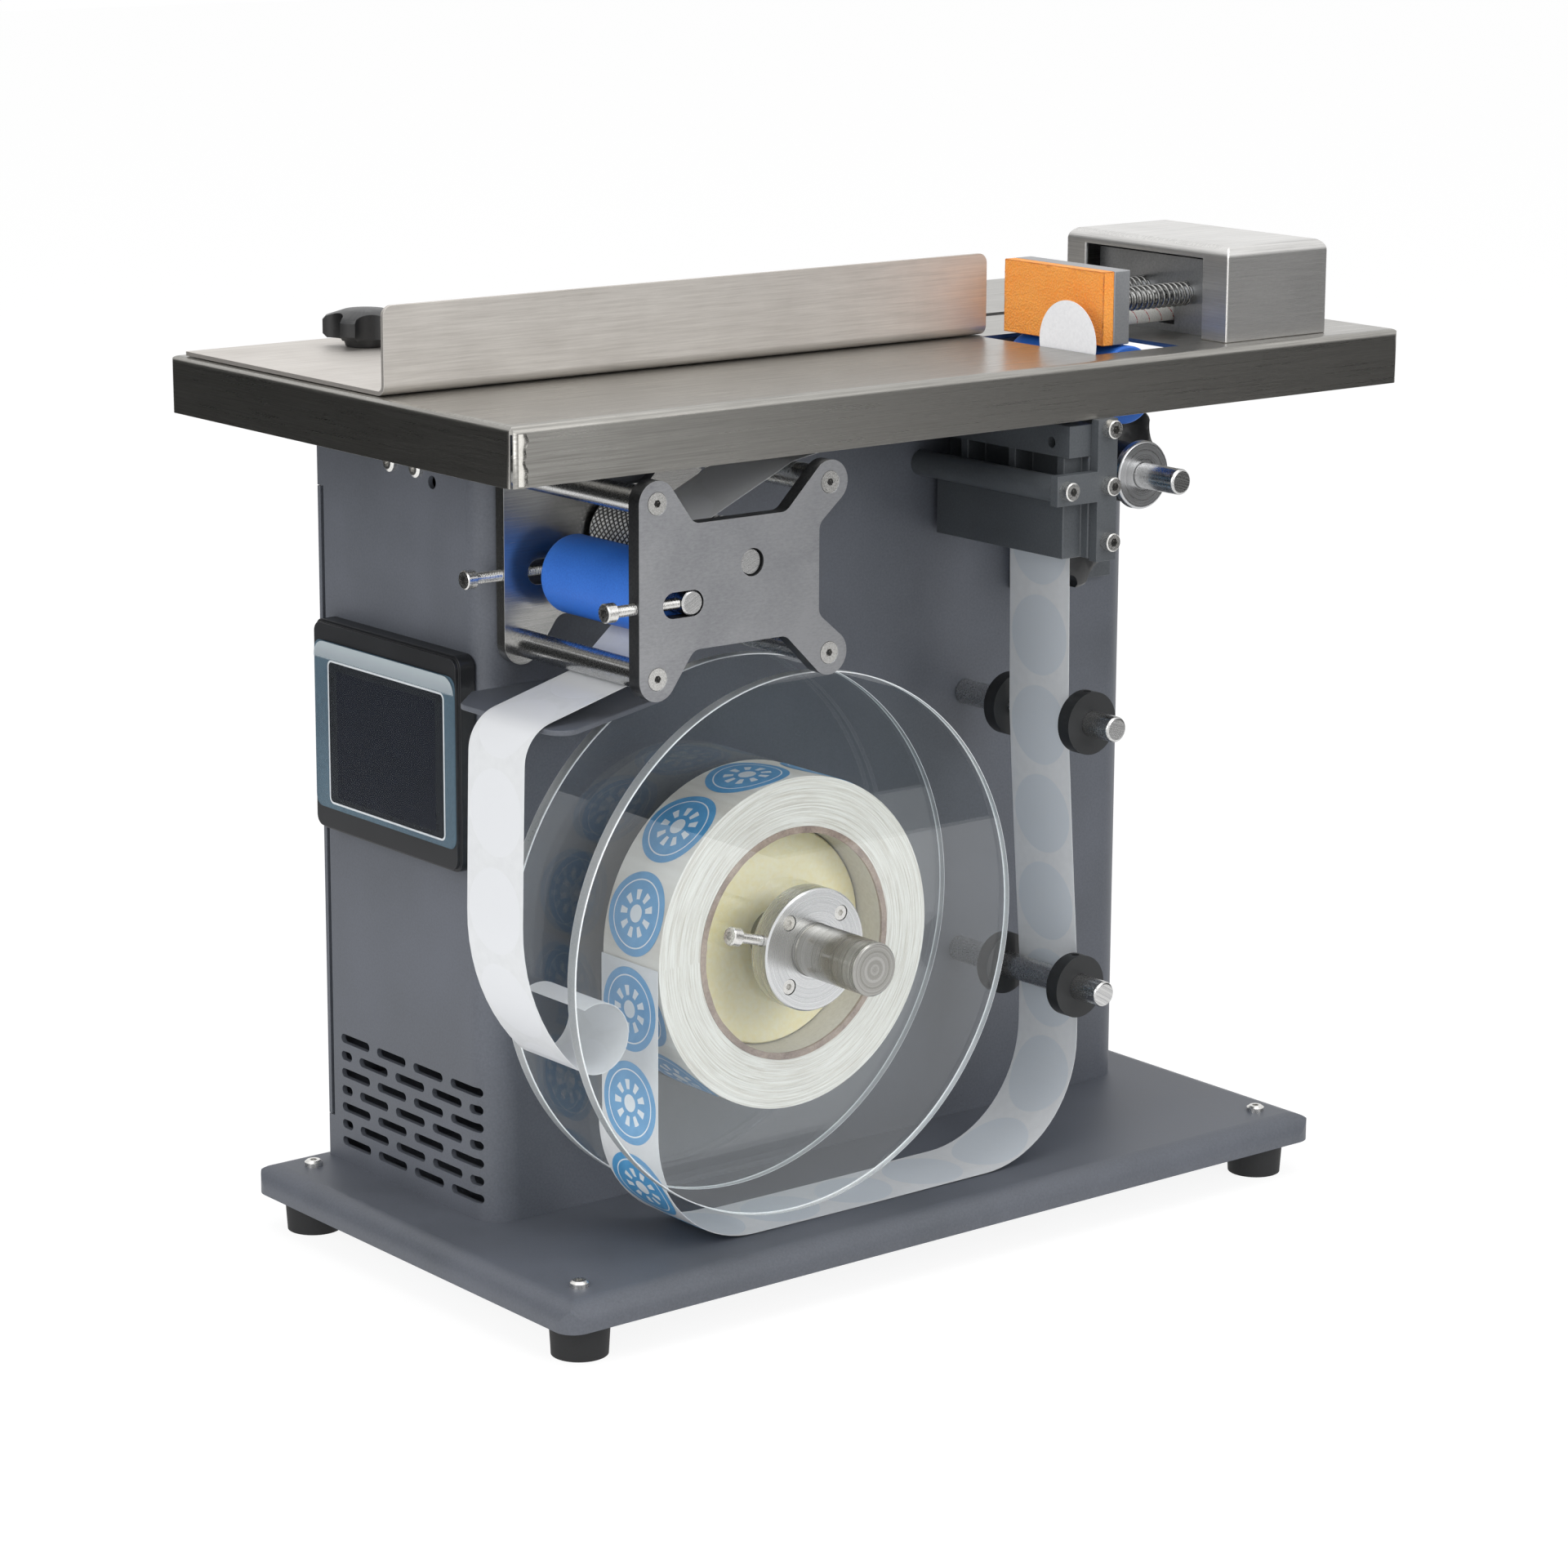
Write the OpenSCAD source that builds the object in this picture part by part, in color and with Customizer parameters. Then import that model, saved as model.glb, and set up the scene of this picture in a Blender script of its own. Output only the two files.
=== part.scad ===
// Bench-top automatic labeling machine, millimetres.
// X runs along the product path, Y to the back, Z up; the origin is under the middle of the bounding box.
// Depths called "reach" or d are measured forward of the column's front face.

/* [Table] */
// Length of the table along the product path
table_w = 430; // [400:1:480]
// Depth of the table, front to back
table_d = 221; // [200:1:240]
// Height of the folded table skirt
table_t = 21.5; // [18:0.5:26]
// How far the table reaches behind the column's front face
table_back = 140; // [126:1:150]
// Thickness of the stainless sheet of table, fence and press box
sheet = 1.6; // [1.2:0.1:2]
// Outer bend radius of the folded table edges
bend_r = 3; // [2.2:0.1:4]
// Left edge of the label opening, right of the table's middle
slot_x = 65; // [55:1:75]
// Length of the label opening along the product path
slot_w = 44; // [42:1:50]
// Front edge of the label opening, forward of the column
slot_reach = 66; // [64:0.5:66.5]
// Length of the accessory slot in the table
aux_slot_w = 100; // [60:1:110]
// Width of the accessory slot
aux_slot_h = 7; // [5:0.5:9]
// Middle of the accessory slot, behind the column's front face
aux_slot_back = 48.5; // [40:0.5:56]

/* [Base and column] */
// Length of the base plate
base_w = 372; // [350:1:400]
// Depth of the base plate
base_d = 209; // [200:1:225]
// Thickness of the base plate
base_t = 11; // [10:0.5:14]
// Radius of the rounded top edge of the base
base_edge_r = 8; // [4:0.5:9]
// How far the base reaches before the column's front face
base_front = 89.5; // [84:0.5:95]
// Middle of the base, right of the table's middle
base_off = -13.5; // [-20:0.5:-8]
// Height of a rubber foot
foot_h = 14; // [10:0.5:20]
// Diameter of a rubber foot at the floor
foot_dia = 21; // [18:0.5:26]
// Inset of the feet from the base edges
foot_inset = 17; // [15:0.5:22]
// Width of base left free beside the column, each side
base_step = 27; // [22:0.5:34]
// Depth of the column housing
column_d = 110; // [108:1:114]
// Height of the column from the base to the table skirt
column_h = 293; // [285:1:310]
// Middle of the column, right of the table's middle
column_off = -11; // [-16:0.5:-6]
// Radius of the column's front corners
column_r = 12; // [8:0.5:16]
// Sheet thickness of column and rear cover
wall = 2; // [1.5:0.1:2.5]
// Height of the rear cover
cover_h = 248; // [220:1:255]
// Slit between column side and rear cover
cover_gap = 2; // [1:0.1:3]

/* [Control panel and supply] */
// Width of the control panel bezel
hmi_w = 96; // [90:0.5:98]
// Height of the control panel bezel
hmi_h = 81; // [74:0.5:86]
// How far the bezel stands out of the column
hmi_proud = 8; // [5:0.5:10]
// Middle of the panel below the table skirt
hmi_drop = 117.5; // [105:0.5:125]
// Middle of the panel behind the column's front face
hmi_back = 55; // [53:0.5:57]
// Length of one long vent slot
vent_l = 19.5; // [16:0.1:20]
// Height of one vent slot
vent_h = 3.6; // [3:0.1:4]
// Spacing of the vent slots along a row
vent_pitch = 24.8; // [24.5:0.1:25.5]
// Spacing of the vent rows
vent_row = 6.9; // [6.6:0.1:7.1]
// Width of the power inlet flange
inlet_w = 34; // [30:0.5:40]
// Height of the power inlet flange
inlet_h = 62; // [58:0.5:66]

/* [Reel] */
// Height of the reel axis above the base
reel_rise = 109.5; // [105:0.5:114]
// Reel axis, right of the table's middle
reel_x = -81.5; // [-84:0.5:-80]
// Radius of the clear side discs
disc_r = 102; // [96:0.5:103]
// Thickness of the clear side discs
disc_t = 5; // [4:0.5:5.5]
// Width of the label web and its liner
web_w = 34; // [30:0.5:35]
// Middle of the web, forward of the column's front face
web_reach = 50; // [49:0.5:51]
// Stand-in thickness of web, liner and label
web_t = 0.4; // [0.3:0.05:0.5]
// Side gap between web and discs
web_side = 0.5; // [0.4:0.1:0.8]
// Radius of the wound label roll
roll_r = 62.5; // [56:0.5:64]
// Outer radius of the paper core
core_r = 43.8; // [43:0.1:46]
// Wall thickness of the paper core
core_wall = 2.3; // [1.8:0.1:2.5]
// How far the nylon hub sits behind the front of the roll
hub_recess = 14; // [10:0.5:16]
// Diameter of the reel shaft
reel_shaft_dia = 20; // [18:0.5:22]
// Free end of the reel shaft, forward of the column
shaft_reach = 115; // [105:0.5:125]
// Outer diameter of the clamp collar
collar_dia = 46; // [42:0.5:50]
// Thickness of the clamp collar
collar_t = 8.5; // [7.5:0.5:10]

/* [Roller station] */
// Middle of the station, right of the table's middle
station_x = -118.5; // [-120:0.5:-117]
// Middle of the station below the table skirt
station_drop = 41; // [40.5:0.5:42]
// Spacing of the spacer rods along X
rod_pitch_x = 77; // [76.5:0.5:78]
// Spacing of the spacer rods along Z
rod_pitch_z = 62; // [61:0.5:62.5]
// Diameter of spacer rods and guide posts
rod_dia = 10; // [9:0.5:10]
// Radius of the plate lobes round the spacer rods
lobe_r = 8; // [7.5:0.1:8.5]
// Half height of the plate waist
waist_z = 22.4; // [21:0.1:23]
// Thickness of the inner side plate
inner_t = 5; // [4.5:0.5:6]
// Thickness of the outer side plate
outer_t = 6; // [5.5:0.5:7]
// Clear length between the side plates
plate_gap = 75; // [74:0.5:76]
// Radius of the knurled drive roller
drive_r = 13.4; // [12.8:0.1:13.4]
// Radius of the pinch roller
pinch_r = 14.5; // [14:0.1:14.5]
// Diameter of the drive shaft
drive_shaft_dia = 10; // [8:0.5:10]
// Diameter of the pinch roller axle
axle_dia = 9; // [8:0.5:9]
// Opening travel of the pinch roller
pinch_travel = 8; // [6:0.5:8]

/* [Pressing pad] */
// Length of the press box along X
box_w = 54; // [50:0.5:60]
// Depth of the press box
box_d = 92; // [86:0.5:94]
// Height of the press box above the table
box_h = 37; // [36:0.5:42]
// Edge radius of the press box
box_r = 4.5; // [3:0.5:5]
// Left face of the press box, right of the label opening's left edge
box_gap = 63; // [61:0.5:66]
// Width of the pressing pad
pad_w = 57; // [50:0.5:58]
// Height of the pressing pad
pad_h = 28.3; // [24:0.1:29]
// Thickness of the foam
foam_t = 5.6; // [4:0.1:6]
// Thickness of the plate behind the foam
pad_t = 8.2; // [7:0.1:9]
// Gap between table and pad
pad_lift = 1.6; // [1.5:0.1:2.2]
// Foam face, right of the label opening's left edge
pad_gap = 9.8; // [9:0.1:11]
// Spring travel of the pad
pad_travel = 12; // [8:0.5:12]
// Diameter of the pad's guide rods
pad_rod_dia = 6; // [5:0.1:6]
// Outer diameter of the pad springs
spring_od = 9.7; // [9:0.1:10]
// Wire diameter of the pad springs
spring_wire = 1.1; // [0.9:0.1:1.2]
// Curls of one pad spring
spring_turns = 16; // [12:1:18]

/* [Rollers and head] */
// Radius of the blue table roller
table_roller_r = 15; // [13:0.5:15]
// How far the table roller stands above the table
roller_rise = 1; // [0.5:0.1:1]
// Table roller axis, right of the label opening's left edge
roller_off = 22; // [21:0.5:23]
// Free end of the guide posts, forward of the column
post_reach = 88.5; // [84:0.5:95]
// Outer diameter of the guide collars
guide_dia = 24.5; // [20:0.5:26]
// Width of a guide collar
guide_t = 6; // [5:0.5:8]
// Upper guide post below the table skirt
post_drop = 119; // [112:0.5:125]
// Lower guide post above the base
post_rise = 70; // [64:0.5:75]
// Radius of the black guide roller under the table
guide_roller_r = 11.5; // [10:0.1:12]
// Radius of the aluminium disc on that roller
flange_r = 13.2; // [12:0.1:13.5]
// Diameter of the peel head's standoffs
standoff_dia = 6; // [5:0.1:6]
// Length of the fence
fence_l = 280; // [250:1:281]
// Height of the fence above the table
fence_h = 32; // [26:0.5:36]
// Depth of the fence flange lying on the table
fence_d = 133; // [120:1:134]
// Forward travel of the fence
fence_travel = 28; // [20:1:30]
// Diameter of the star knobs of the peel head
knob_dia = 27; // [22:0.5:28]
// Diameter of the star knob of the fence
fence_knob_dia = 32; // [28:0.5:36]

/* [Fits] */
// Radial running clearance of spinning parts
run = 0.05; // [0.03:0.01:0.1]
// Gap between parts that move past each other
clear = 0.3; // [0.25:0.05:0.5]
// Radial gap of a clearance hole round its screw
screw_gap = 0.15; // [0.1:0.05:0.3]

/* [Hidden] */
$fn = 48;
base_top = foot_h + base_t;
table_z = base_top + column_h;
table_top_z = table_z + table_t;
column_top = table_top_z - sheet;
face_y = shaft_reach - (shaft_reach + table_back) / 2;
m4 = 4;
m4_head = 7;
m4_pan = 2.4;
edge = 0.6;
column_w = base_w - 2 * base_step;
column_l = column_off - column_w / 2;
cover_z = base_top + 17;
cover_y = face_y + column_d - wall;
reel_z = base_top + reel_rise;
disc_back = web_reach - web_w / 2 - web_side - disc_t;
disc_front = web_reach + web_w / 2 + web_side;
hub_front = web_reach + web_w / 2 - hub_recess;
web_back = web_reach - web_w / 2;
station_z = table_z - station_drop;
outer_back = inner_t + plate_gap;
outer_front = outer_back + outer_t;
rod_lx = station_x - rod_pitch_x / 2;
rod_rx = station_x + rod_pitch_x / 2;
rod_tz = station_z + rod_pitch_z / 2;
rod_bz = station_z - rod_pitch_z / 2;
drive_x = station_x + 3.4;
drive_z = station_z + 5.9;
nip_ang = 203.6;
nip_l = drive_r + pinch_r + web_t + 2 * clear;
pinch_x = drive_x + nip_l * cos(nip_ang);
pinch_z = drive_z + nip_l * sin(nip_ang);
defl_top = rod_bz - 16.1;
defl_l = -192.5;
hmi_deep = 14;
fence_bend = 4;
box_reach = 72;
corner_r = 3;
slit = 0.9;
motor_x = drive_x;
motor_z = reel_z + 74;
belt_pitch = 3;
drive_teeth = 28;
motor_teeth = 21;
pulley_d = drive_teeth * belt_pitch / PI;
motor_pulley_d = motor_teeth * belt_pitch / PI;
pulley_back = -30;
pulley_w = 10;
slot_back = 0.5;
head_x = slot_x - 8.5;
side_x = head_x - standoff_dia / 2 - web_t - 3 * clear;
rail_top = table_z - 2;
peel_r = 0.75;
peel_x = slot_x - 0.6;
peel_z = column_top - web_t - 2 * clear - peel_r;
head_d = 80;
bracket_t = 4;
roller_x = slot_x + roller_off;
roller_z = table_top_z + roller_rise - table_roller_r;
roller_back = bracket_t + 1;
roller_front = 61;
post_x = slot_x - 5.5;
low_x = slot_x - 9;
post_z = table_z - post_drop;
low_z = base_top + post_rise;
drum_z = table_z - 26;
foam_x = slot_x + pad_gap;
plate_x = foam_x + foam_t;
plate_back_x = plate_x + pad_t;
box_x = slot_x + box_gap;
press_x = box_x + 7;
press_t = 3;
pad_reach = 31;
pad_rod_gap = 24;
pad_z = table_top_z + pad_lift;
pad_rod_z = pad_z + 14.6;
fence_x = -212;
knob_x = -150;
knob_back = 106;
lift = clear;

// A round bar along Y at (x, z) between two reaches.
module bar(x, z, d0, d1, dia) {
    translate([x, face_y - d0, z])
        rotate([90, 0, 0])
            cylinder(h = d1 - d0, d = dia);
}

// A round bar with small end chamfers.
module post(x, z, d0, d1, dia) {
    bar(x, z, d0, d1 - edge, dia);
    translate([x, face_y - d1 + edge, z])
        rotate([90, 0, 0])
            cylinder(h = edge, d1 = dia, d2 = dia - 2 * edge);
}

// A flat outline in X and Z, t thick, standing forward from reach d0.
module flat_xz(d0, t) {
    translate([0, face_y - d0, 0])
        rotate([90, 0, 0])
            linear_extrude(t)
                children();
}

// A flat outline in Y and Z, t thick, standing right of x0.
module flat_yz(x0, t) {
    translate([x0, 0, 0])
        rotate([90, 0, 90])
            linear_extrude(t)
                children();
}

// A rectangle with rounded corners, centred.
module rrect(w, h, r) {
    square([w - 2 * r, h], center = true);
    square([w, h - 2 * r], center = true);
    for (x = [-1, 1])
        for (y = [-1, 1])
            translate([x * (w / 2 - r), y * (h / 2 - r)])
                circle(r);
}

// A rectangle standing on its base line with two rounded top corners.
module dome(w, h, r) {
    translate([-w / 2, 0])
        square([w, h - r]);
    translate([-w / 2 + r, 0])
        square([w - 2 * r, h]);
    for (x = [-1, 1])
        translate([x * (w / 2 - r), h - r])
            circle(r);
}

// A slot with round ends along the first axis, centred.
module slot(l, h) {
    square([l - h, h], center = true);
    for (x = [-1, 1])
        translate([x * (l - h) / 2, 0])
            circle(h / 2);
}

// A block with rounded top edges like a folded pan, its near left corner at the origin.
module pan(w, d, h, r) {
    intersection() {
        translate([w / 2, d, 0])
            rotate([90, 0, 0])
                linear_extrude(d)
                    dome(w, h, r);
        rotate([90, 0, 90])
            linear_extrude(w)
                translate([d / 2, 0])
                    dome(d, h, r);
    }
}

// A pan with its upright corners rounded and slit where the folded skirts meet, r below the top.
module folded_pan(w, d, h, r) {
    difference() {
        intersection() {
            pan(w, d, h, r);
            translate([w / 2, d / 2, 0])
                linear_extrude(h)
                    rrect(w, d, corner_r);
        }
        for (x = [0, w])
            for (y = [0, d])
                translate([x, y, (h - r) / 2 - 1])
                    rotate([0, 0, (x == 0) == (y == 0) ? 45 : -45])
                        cube([8, slit, h - r + 2], center = true);
    }
}

// The column's plan, set in by i at front and sides and by back at the rear.
module column_plan(i, back) {
    w = column_w - 2 * i;
    r = column_r - i;
    translate([column_off, face_y + i]) {
        translate([-w / 2, r])
            square([w, column_d - i - back - r]);
        translate([-w / 2 + r, 0])
            square([w - 2 * r, 2 * r]);
        for (s = [-1, 1])
            translate([s * (w / 2 - r), r])
                circle(r);
    }
}

// Where the base screws and feet stand.
foot_x = [base_off - base_w / 2 + foot_inset, base_off + base_w / 2 - foot_inset];
foot_y = [face_y - base_front + foot_inset, face_y - base_front + base_d - foot_inset];
cover_sx = [column_l + 8, column_off, column_l + column_w - 8];
cover_sz = [cover_z + 8, cover_z + cover_h - 8];

// Two small screws and a cable hole high on the column's left face.
side_sy = [face_y + 42, face_y + 59];
side_hole = [face_y + 33, table_z - 17];
side_sz = table_z - 12.8;

module base_plate() color([0.35, 0.37, 0.39]) {
    difference() {
        intersection() {
            translate([base_off - base_w / 2, face_y - base_front, foot_h])
                pan(base_w, base_d, base_t, base_edge_r);
            translate([base_off, face_y - base_front + base_d / 2, foot_h])
                linear_extrude(base_t)
                    rrect(base_w, base_d, base_edge_r);
        }
        translate([base_off, face_y - base_front + base_d / 2, foot_h - 1])
            linear_extrude(base_t - 2.5 + 1)
                rrect(base_w - 64, base_d - 64, 6);
        for (x = foot_x)
            for (y = foot_y)
                translate([x, y, foot_h - 1])
                    cylinder(h = base_t + 2, d = m4 + 2 * screw_gap);
    }
}

module rubber_feet() color([0.08, 0.08, 0.08]) {
    for (x = foot_x)
        for (y = foot_y)
            translate([x, y, 0])
                difference() {
                    union() {
                        cylinder(h = foot_h - 2, d1 = foot_dia, d2 = foot_dia + 1.5);
                        translate([0, 0, foot_h - 2])
                            cylinder(h = 2, d = foot_dia + 1.5);
                    }
                    translate([0, 0, -1])
                        cylinder(h = foot_h + 2, d = m4 + 2 * screw_gap);
                    translate([0, 0, -1])
                        cylinder(h = 6, d = 10);
                }
}

// A pan-head screw with a hex socket, its head on z = 0 and its shank l long below.
module pan_screw(l) {
    difference() {
        union() {
            cylinder(h = m4_pan - 0.8, d = m4_head);
            translate([0, 0, m4_pan - 0.8])
                cylinder(h = 0.8, d1 = m4_head, d2 = m4_head - 2);
            translate([0, 0, -l])
                cylinder(h = l, d = m4);
        }
        translate([0, 0, m4_pan - 1.4])
            rotate([0, 0, 30])
                cylinder(h = 2, d = 2.9, $fn = 6);
    }
}

module housing_screws() color([0.8, 0.8, 0.8]) {
    for (x = foot_x)
        for (y = foot_y)
            translate([x, y, base_top])
                pan_screw(base_t + 6);
    for (x = cover_sx)
        for (z = cover_sz)
            translate([x, face_y + column_d, z])
                rotate([-90, 0, 0])
                    pan_screw(wall + cover_gap + 1);
    for (y = side_sy)
        translate([column_l, y, side_sz])
            rotate([0, -90, 0])
                pan_screw(wall + 1);
}

// One row of vent slots; odd rows are shifted by half a slot and end in short ones.
module vent_line(shifted) {
    if (shifted == 0)
        for (i = [0:3])
            translate([(i - 1.5) * vent_pitch, 0])
                slot(vent_l, vent_h);
    if (shifted == 1) {
        for (i = [0:2])
            translate([(i - 1) * vent_pitch, 0])
                slot(vent_l, vent_h);
        for (s = [-1, 1])
            translate([s * (1.5 * vent_pitch + vent_l / 2 - 3.6), 0])
                slot(7.2, vent_h);
    }
}

module column_housing() color([0.35, 0.37, 0.39]) {
    difference() {
        translate([0, 0, base_top])
            linear_extrude(column_top - base_top)
                column_plan(0, 0);
        translate([0, 0, base_top - 1])
            linear_extrude(column_top - wall - base_top + 1)
                column_plan(wall, wall + cover_gap + wall);
        translate([column_l - 1, cover_y - cover_gap, cover_z])
            cube([column_w + 2, wall + cover_gap + 1, cover_h]);
        translate([column_l + 16, cover_y - cover_gap - wall - 1, cover_z + 14])
            cube([column_w - 32, wall + 2, cover_h - 28]);
        for (x = cover_sx)
            for (z = cover_sz)
                translate([x, cover_y - cover_gap - wall - 1, z])
                    rotate([-90, 0, 0])
                        cylinder(h = wall + 2, d = m4 + 2 * screw_gap);
        flat_yz(column_l - 1, wall + 2)
            translate([face_y + hmi_back, table_z - hmi_drop])
                square([hmi_w - 8, hmi_h - 8], center = true);
        for (y = side_sy)
            translate([column_l - 1, y, side_sz])
                rotate([0, 90, 0])
                    cylinder(h = wall + 2, d = m4 + 2 * screw_gap);
        translate([column_l - 1, side_hole[0], side_hole[1]])
            rotate([0, 90, 0])
                cylinder(h = wall + 2, d = 5);
        for (i = [0:6])
            flat_yz(column_l - 1, wall + 2)
                translate([face_y + hmi_back - 1.5, base_top + 8.5 + i * vent_row])
                    vent_line(i % 2);
        translate([knob_x - 11, face_y + knob_back - fence_travel - 12, column_top - 10])
            cube([22, column_d, 12]);
        bar(reel_x, reel_z, -wall - 1, 1, reel_shaft_dia + 4);
        bar(drive_x, drive_z, -wall - 1, 1, drive_shaft_dia + 3);
        bar(roller_x, roller_z, -wall - 1, 1, 8 + 2 * run);
    }
}

module rear_cover() color([0.35, 0.37, 0.39]) {
    difference() {
        translate([column_l, cover_y, cover_z + clear])
            cube([column_w, wall, cover_h - 2 * clear]);
        for (x = cover_sx)
            for (z = cover_sz)
                translate([x, cover_y - 1, z])
                    rotate([-90, 0, 0])
                        cylinder(h = wall + 2, d = m4 + 2 * screw_gap);
        translate([inlet_x, cover_y - 1, inlet_z])
            rotate([-90, 0, 0])
                linear_extrude(wall + 2)
                    square([inlet_w - 6, inlet_h - 10], center = true);
    }
}

inlet_x = column_l + column_w - 60;
inlet_z = cover_z + 60;
inlet_y = face_y + column_d;
rocker_z = inlet_z - 16;

module power_inlet() color([0.06, 0.06, 0.06]) {
    difference() {
        union() {
            translate([inlet_x, inlet_y, inlet_z])
                rotate([-90, 0, 0])
                    linear_extrude(3)
                        rrect(inlet_w, inlet_h, 3);
            translate([inlet_x - inlet_w / 2 + 3.2, inlet_y - 24, inlet_z - inlet_h / 2 + 5.2])
                cube([inlet_w - 6.4, 24, inlet_h - 10.4]);
        }
        translate([inlet_x, inlet_y - 14, inlet_z + 10])
            rotate([-90, 0, 0])
                linear_extrude(18)
                    rrect(24, 17, 3);
        translate([inlet_x - 6.7, inlet_y - 12, rocker_z - 10])
            cube([13.4, 16, 20]);
    }
    for (i = [-1, 0, 1])
        translate([inlet_x + i * 7 - 1, inlet_y - 14, inlet_z + 9 + (i == 0 ? 4 : 0)])
            cube([2, 11, 4]);
}

module rocker() color([0.6, 0.06, 0.05]) {
    translate([inlet_x - 6.2, inlet_y, rocker_z])
        rotate([90, 0, 90])
            linear_extrude(12.4)
                polygon([[-6, -7.6], [2.6, -8], [3.6, -0.4], [4.8, 8], [-6, 7.6]]);
}

module hmi_bezel() color([0.13, 0.13, 0.14]) {
    difference() {
        union() {
            flat_yz(column_l - hmi_proud, hmi_proud - 1.5)
                translate([face_y + hmi_back, table_z - hmi_drop])
                    rrect(hmi_w - 2, hmi_h - 2, 4);
            flat_yz(column_l - hmi_proud + 1.5, hmi_proud - 1.5)
                translate([face_y + hmi_back, table_z - hmi_drop])
                    rrect(hmi_w, hmi_h, 4.5);
            flat_yz(column_l, hmi_deep)
                translate([face_y + hmi_back, table_z - hmi_drop])
                    square([hmi_w - 8 - 2 * clear, hmi_h - 8 - 2 * clear], center = true);
        }
        flat_yz(column_l - hmi_proud - 1, 2)
            translate([face_y + hmi_back, table_z - hmi_drop + 2])
                square([hmi_w - 14, hmi_h - 19], center = true);
    }
}

module hmi_screen() color([0.11, 0.12, 0.17]) {
    flat_yz(column_l - hmi_proud + 0.2, 0.8)
        translate([face_y + hmi_back, table_z - hmi_drop + 2])
            square([hmi_w - 14, hmi_h - 19], center = true);
}

module reel_bearing() color([0.62, 0.63, 0.65]) {
    difference() {
        union() {
            bar(reel_x, reel_z, -62, -wall, 44);
            bar(reel_x, reel_z, -wall - 7, -wall, 70);
        }
        bar(reel_x, reel_z, -63, 1, reel_shaft_dia + 2 * run);
    }
}

module drive_motor() color([0.12, 0.12, 0.13]) {
    difference() {
        union() {
            flat_xz(-100, 56)
                translate([motor_x, motor_z])
                    rrect(57, 57, 5);
            bar(motor_x, motor_z, -45, -42, 38);
            for (x = [-23.5, 23.5])
                for (z = [-23.5, 23.5])
                    bar(motor_x + x, motor_z + z, -45, -wall, 8);
        }
        bar(motor_x, motor_z, -72, -41, 8 + 2 * run);
    }
}

// A flanged belt pulley, its bore left for the caller.
module pulley(x, z, dia) {
    bar(x, z, pulley_back, pulley_back + pulley_w, dia);
    bar(x, z, pulley_back - 1.2, pulley_back, dia + 4);
    bar(x, z, pulley_back + pulley_w, pulley_back + pulley_w + 1.2, dia + 4);
}

module motor_pulley() color([0.72, 0.72, 0.74]) {
    pulley(motor_x, motor_z, motor_pulley_d);
    post(motor_x, motor_z, -70, -12, 8);
}

module drive_pulley() color([0.72, 0.72, 0.74]) {
    difference() {
        pulley(drive_x, drive_z, pulley_d);
        bar(drive_x, drive_z, pulley_back - 2, pulley_back + pulley_w + 2, drive_shaft_dia + 2 * run);
    }
}

// The room inside a belt round both pulleys, e beyond their rims, w wide from reach d0.
module belt_fill(e, d0, w) {
    a = [drive_x, drive_z];
    b = [motor_x, motor_z];
    ra = pulley_d / 2 + e;
    rb = motor_pulley_d / 2 + e;
    base = atan2(b[1] - a[1], b[0] - a[0]);
    off = acos((ra - rb) / norm(b - a));
    function on(c, r, t) = [c[0] + (r - 0.02) * cos(t), c[1] + (r - 0.02) * sin(t)];
    bar(a[0], a[1], d0, d0 + w, 2 * ra);
    bar(b[0], b[1], d0, d0 + w, 2 * rb);
    flat_xz(d0, w)
        polygon([on(a, ra, base + off), on(b, rb, base + off), on(b, rb, base - off), on(a, ra, base - off)]);
}

module drive_belt() color([0.05, 0.05, 0.05]) {
    difference() {
        belt_fill(clear + 1.4, pulley_back + 1, pulley_w - 2);
        belt_fill(clear, pulley_back, pulley_w);
    }
}

module table_top() color([0.78, 0.78, 0.77]) {
    difference() {
        translate([-table_w / 2, face_y + table_back - table_d, table_z])
            folded_pan(table_w, table_d, table_t, bend_r);
        translate([-table_w / 2 + sheet, face_y + table_back - table_d + sheet, table_z - sheet])
            pan(table_w - 2 * sheet, table_d - 2 * sheet, table_t, bend_r - sheet + 0.2);
        translate([slot_x, face_y - slot_reach, table_z])
            cube([slot_w, slot_reach - slot_back, table_t + 1]);
        translate([slot_x + 20 + aux_slot_w / 2, face_y + aux_slot_back, table_z])
            linear_extrude(table_t + 1)
                slot(aux_slot_w, aux_slot_h);
        translate([knob_x, face_y + knob_back - fence_travel / 2, table_z])
            linear_extrude(table_t + 1)
                rotate([0, 0, 90])
                    slot(fence_travel + 6 + 4 * clear, 6 + 2 * clear);
    }
}

module fence() color([0.8, 0.8, 0.79]) {
    difference() {
        translate([fence_x, face_y, table_top_z + lift]) {
            difference() {
                flat_fence();
                translate([-1, -1, -1])
                    cube([fence_l + 2, sheet + 2, fence_bend + 1]);
            }
            translate([0, fence_bend, 0])
                cube([fence_l, fence_d - fence_bend, sheet]);
            translate([0, fence_bend, fence_bend])
                intersection() {
                    rotate([0, 90, 0])
                        difference() {
                            cylinder(h = fence_l, r = fence_bend);
                            translate([0, 0, -1])
                                cylinder(h = fence_l + 2, r = fence_bend - sheet);
                        }
                    translate([-1, -fence_bend - 1, -fence_bend - 1])
                        cube([fence_l + 2, fence_bend + 1, fence_bend + 1]);
                }
        }
        translate([knob_x, face_y + knob_back, table_top_z])
            cylinder(h = 4, d = 6 + 2 * screw_gap);
    }
}

// The fence's upright sheet with rounded top corners.
module flat_fence() {
    translate([fence_l / 2, sheet, 0])
        rotate([90, 0, 0])
            linear_extrude(sheet)
                dome(fence_l, fence_h, 4);
}

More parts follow.
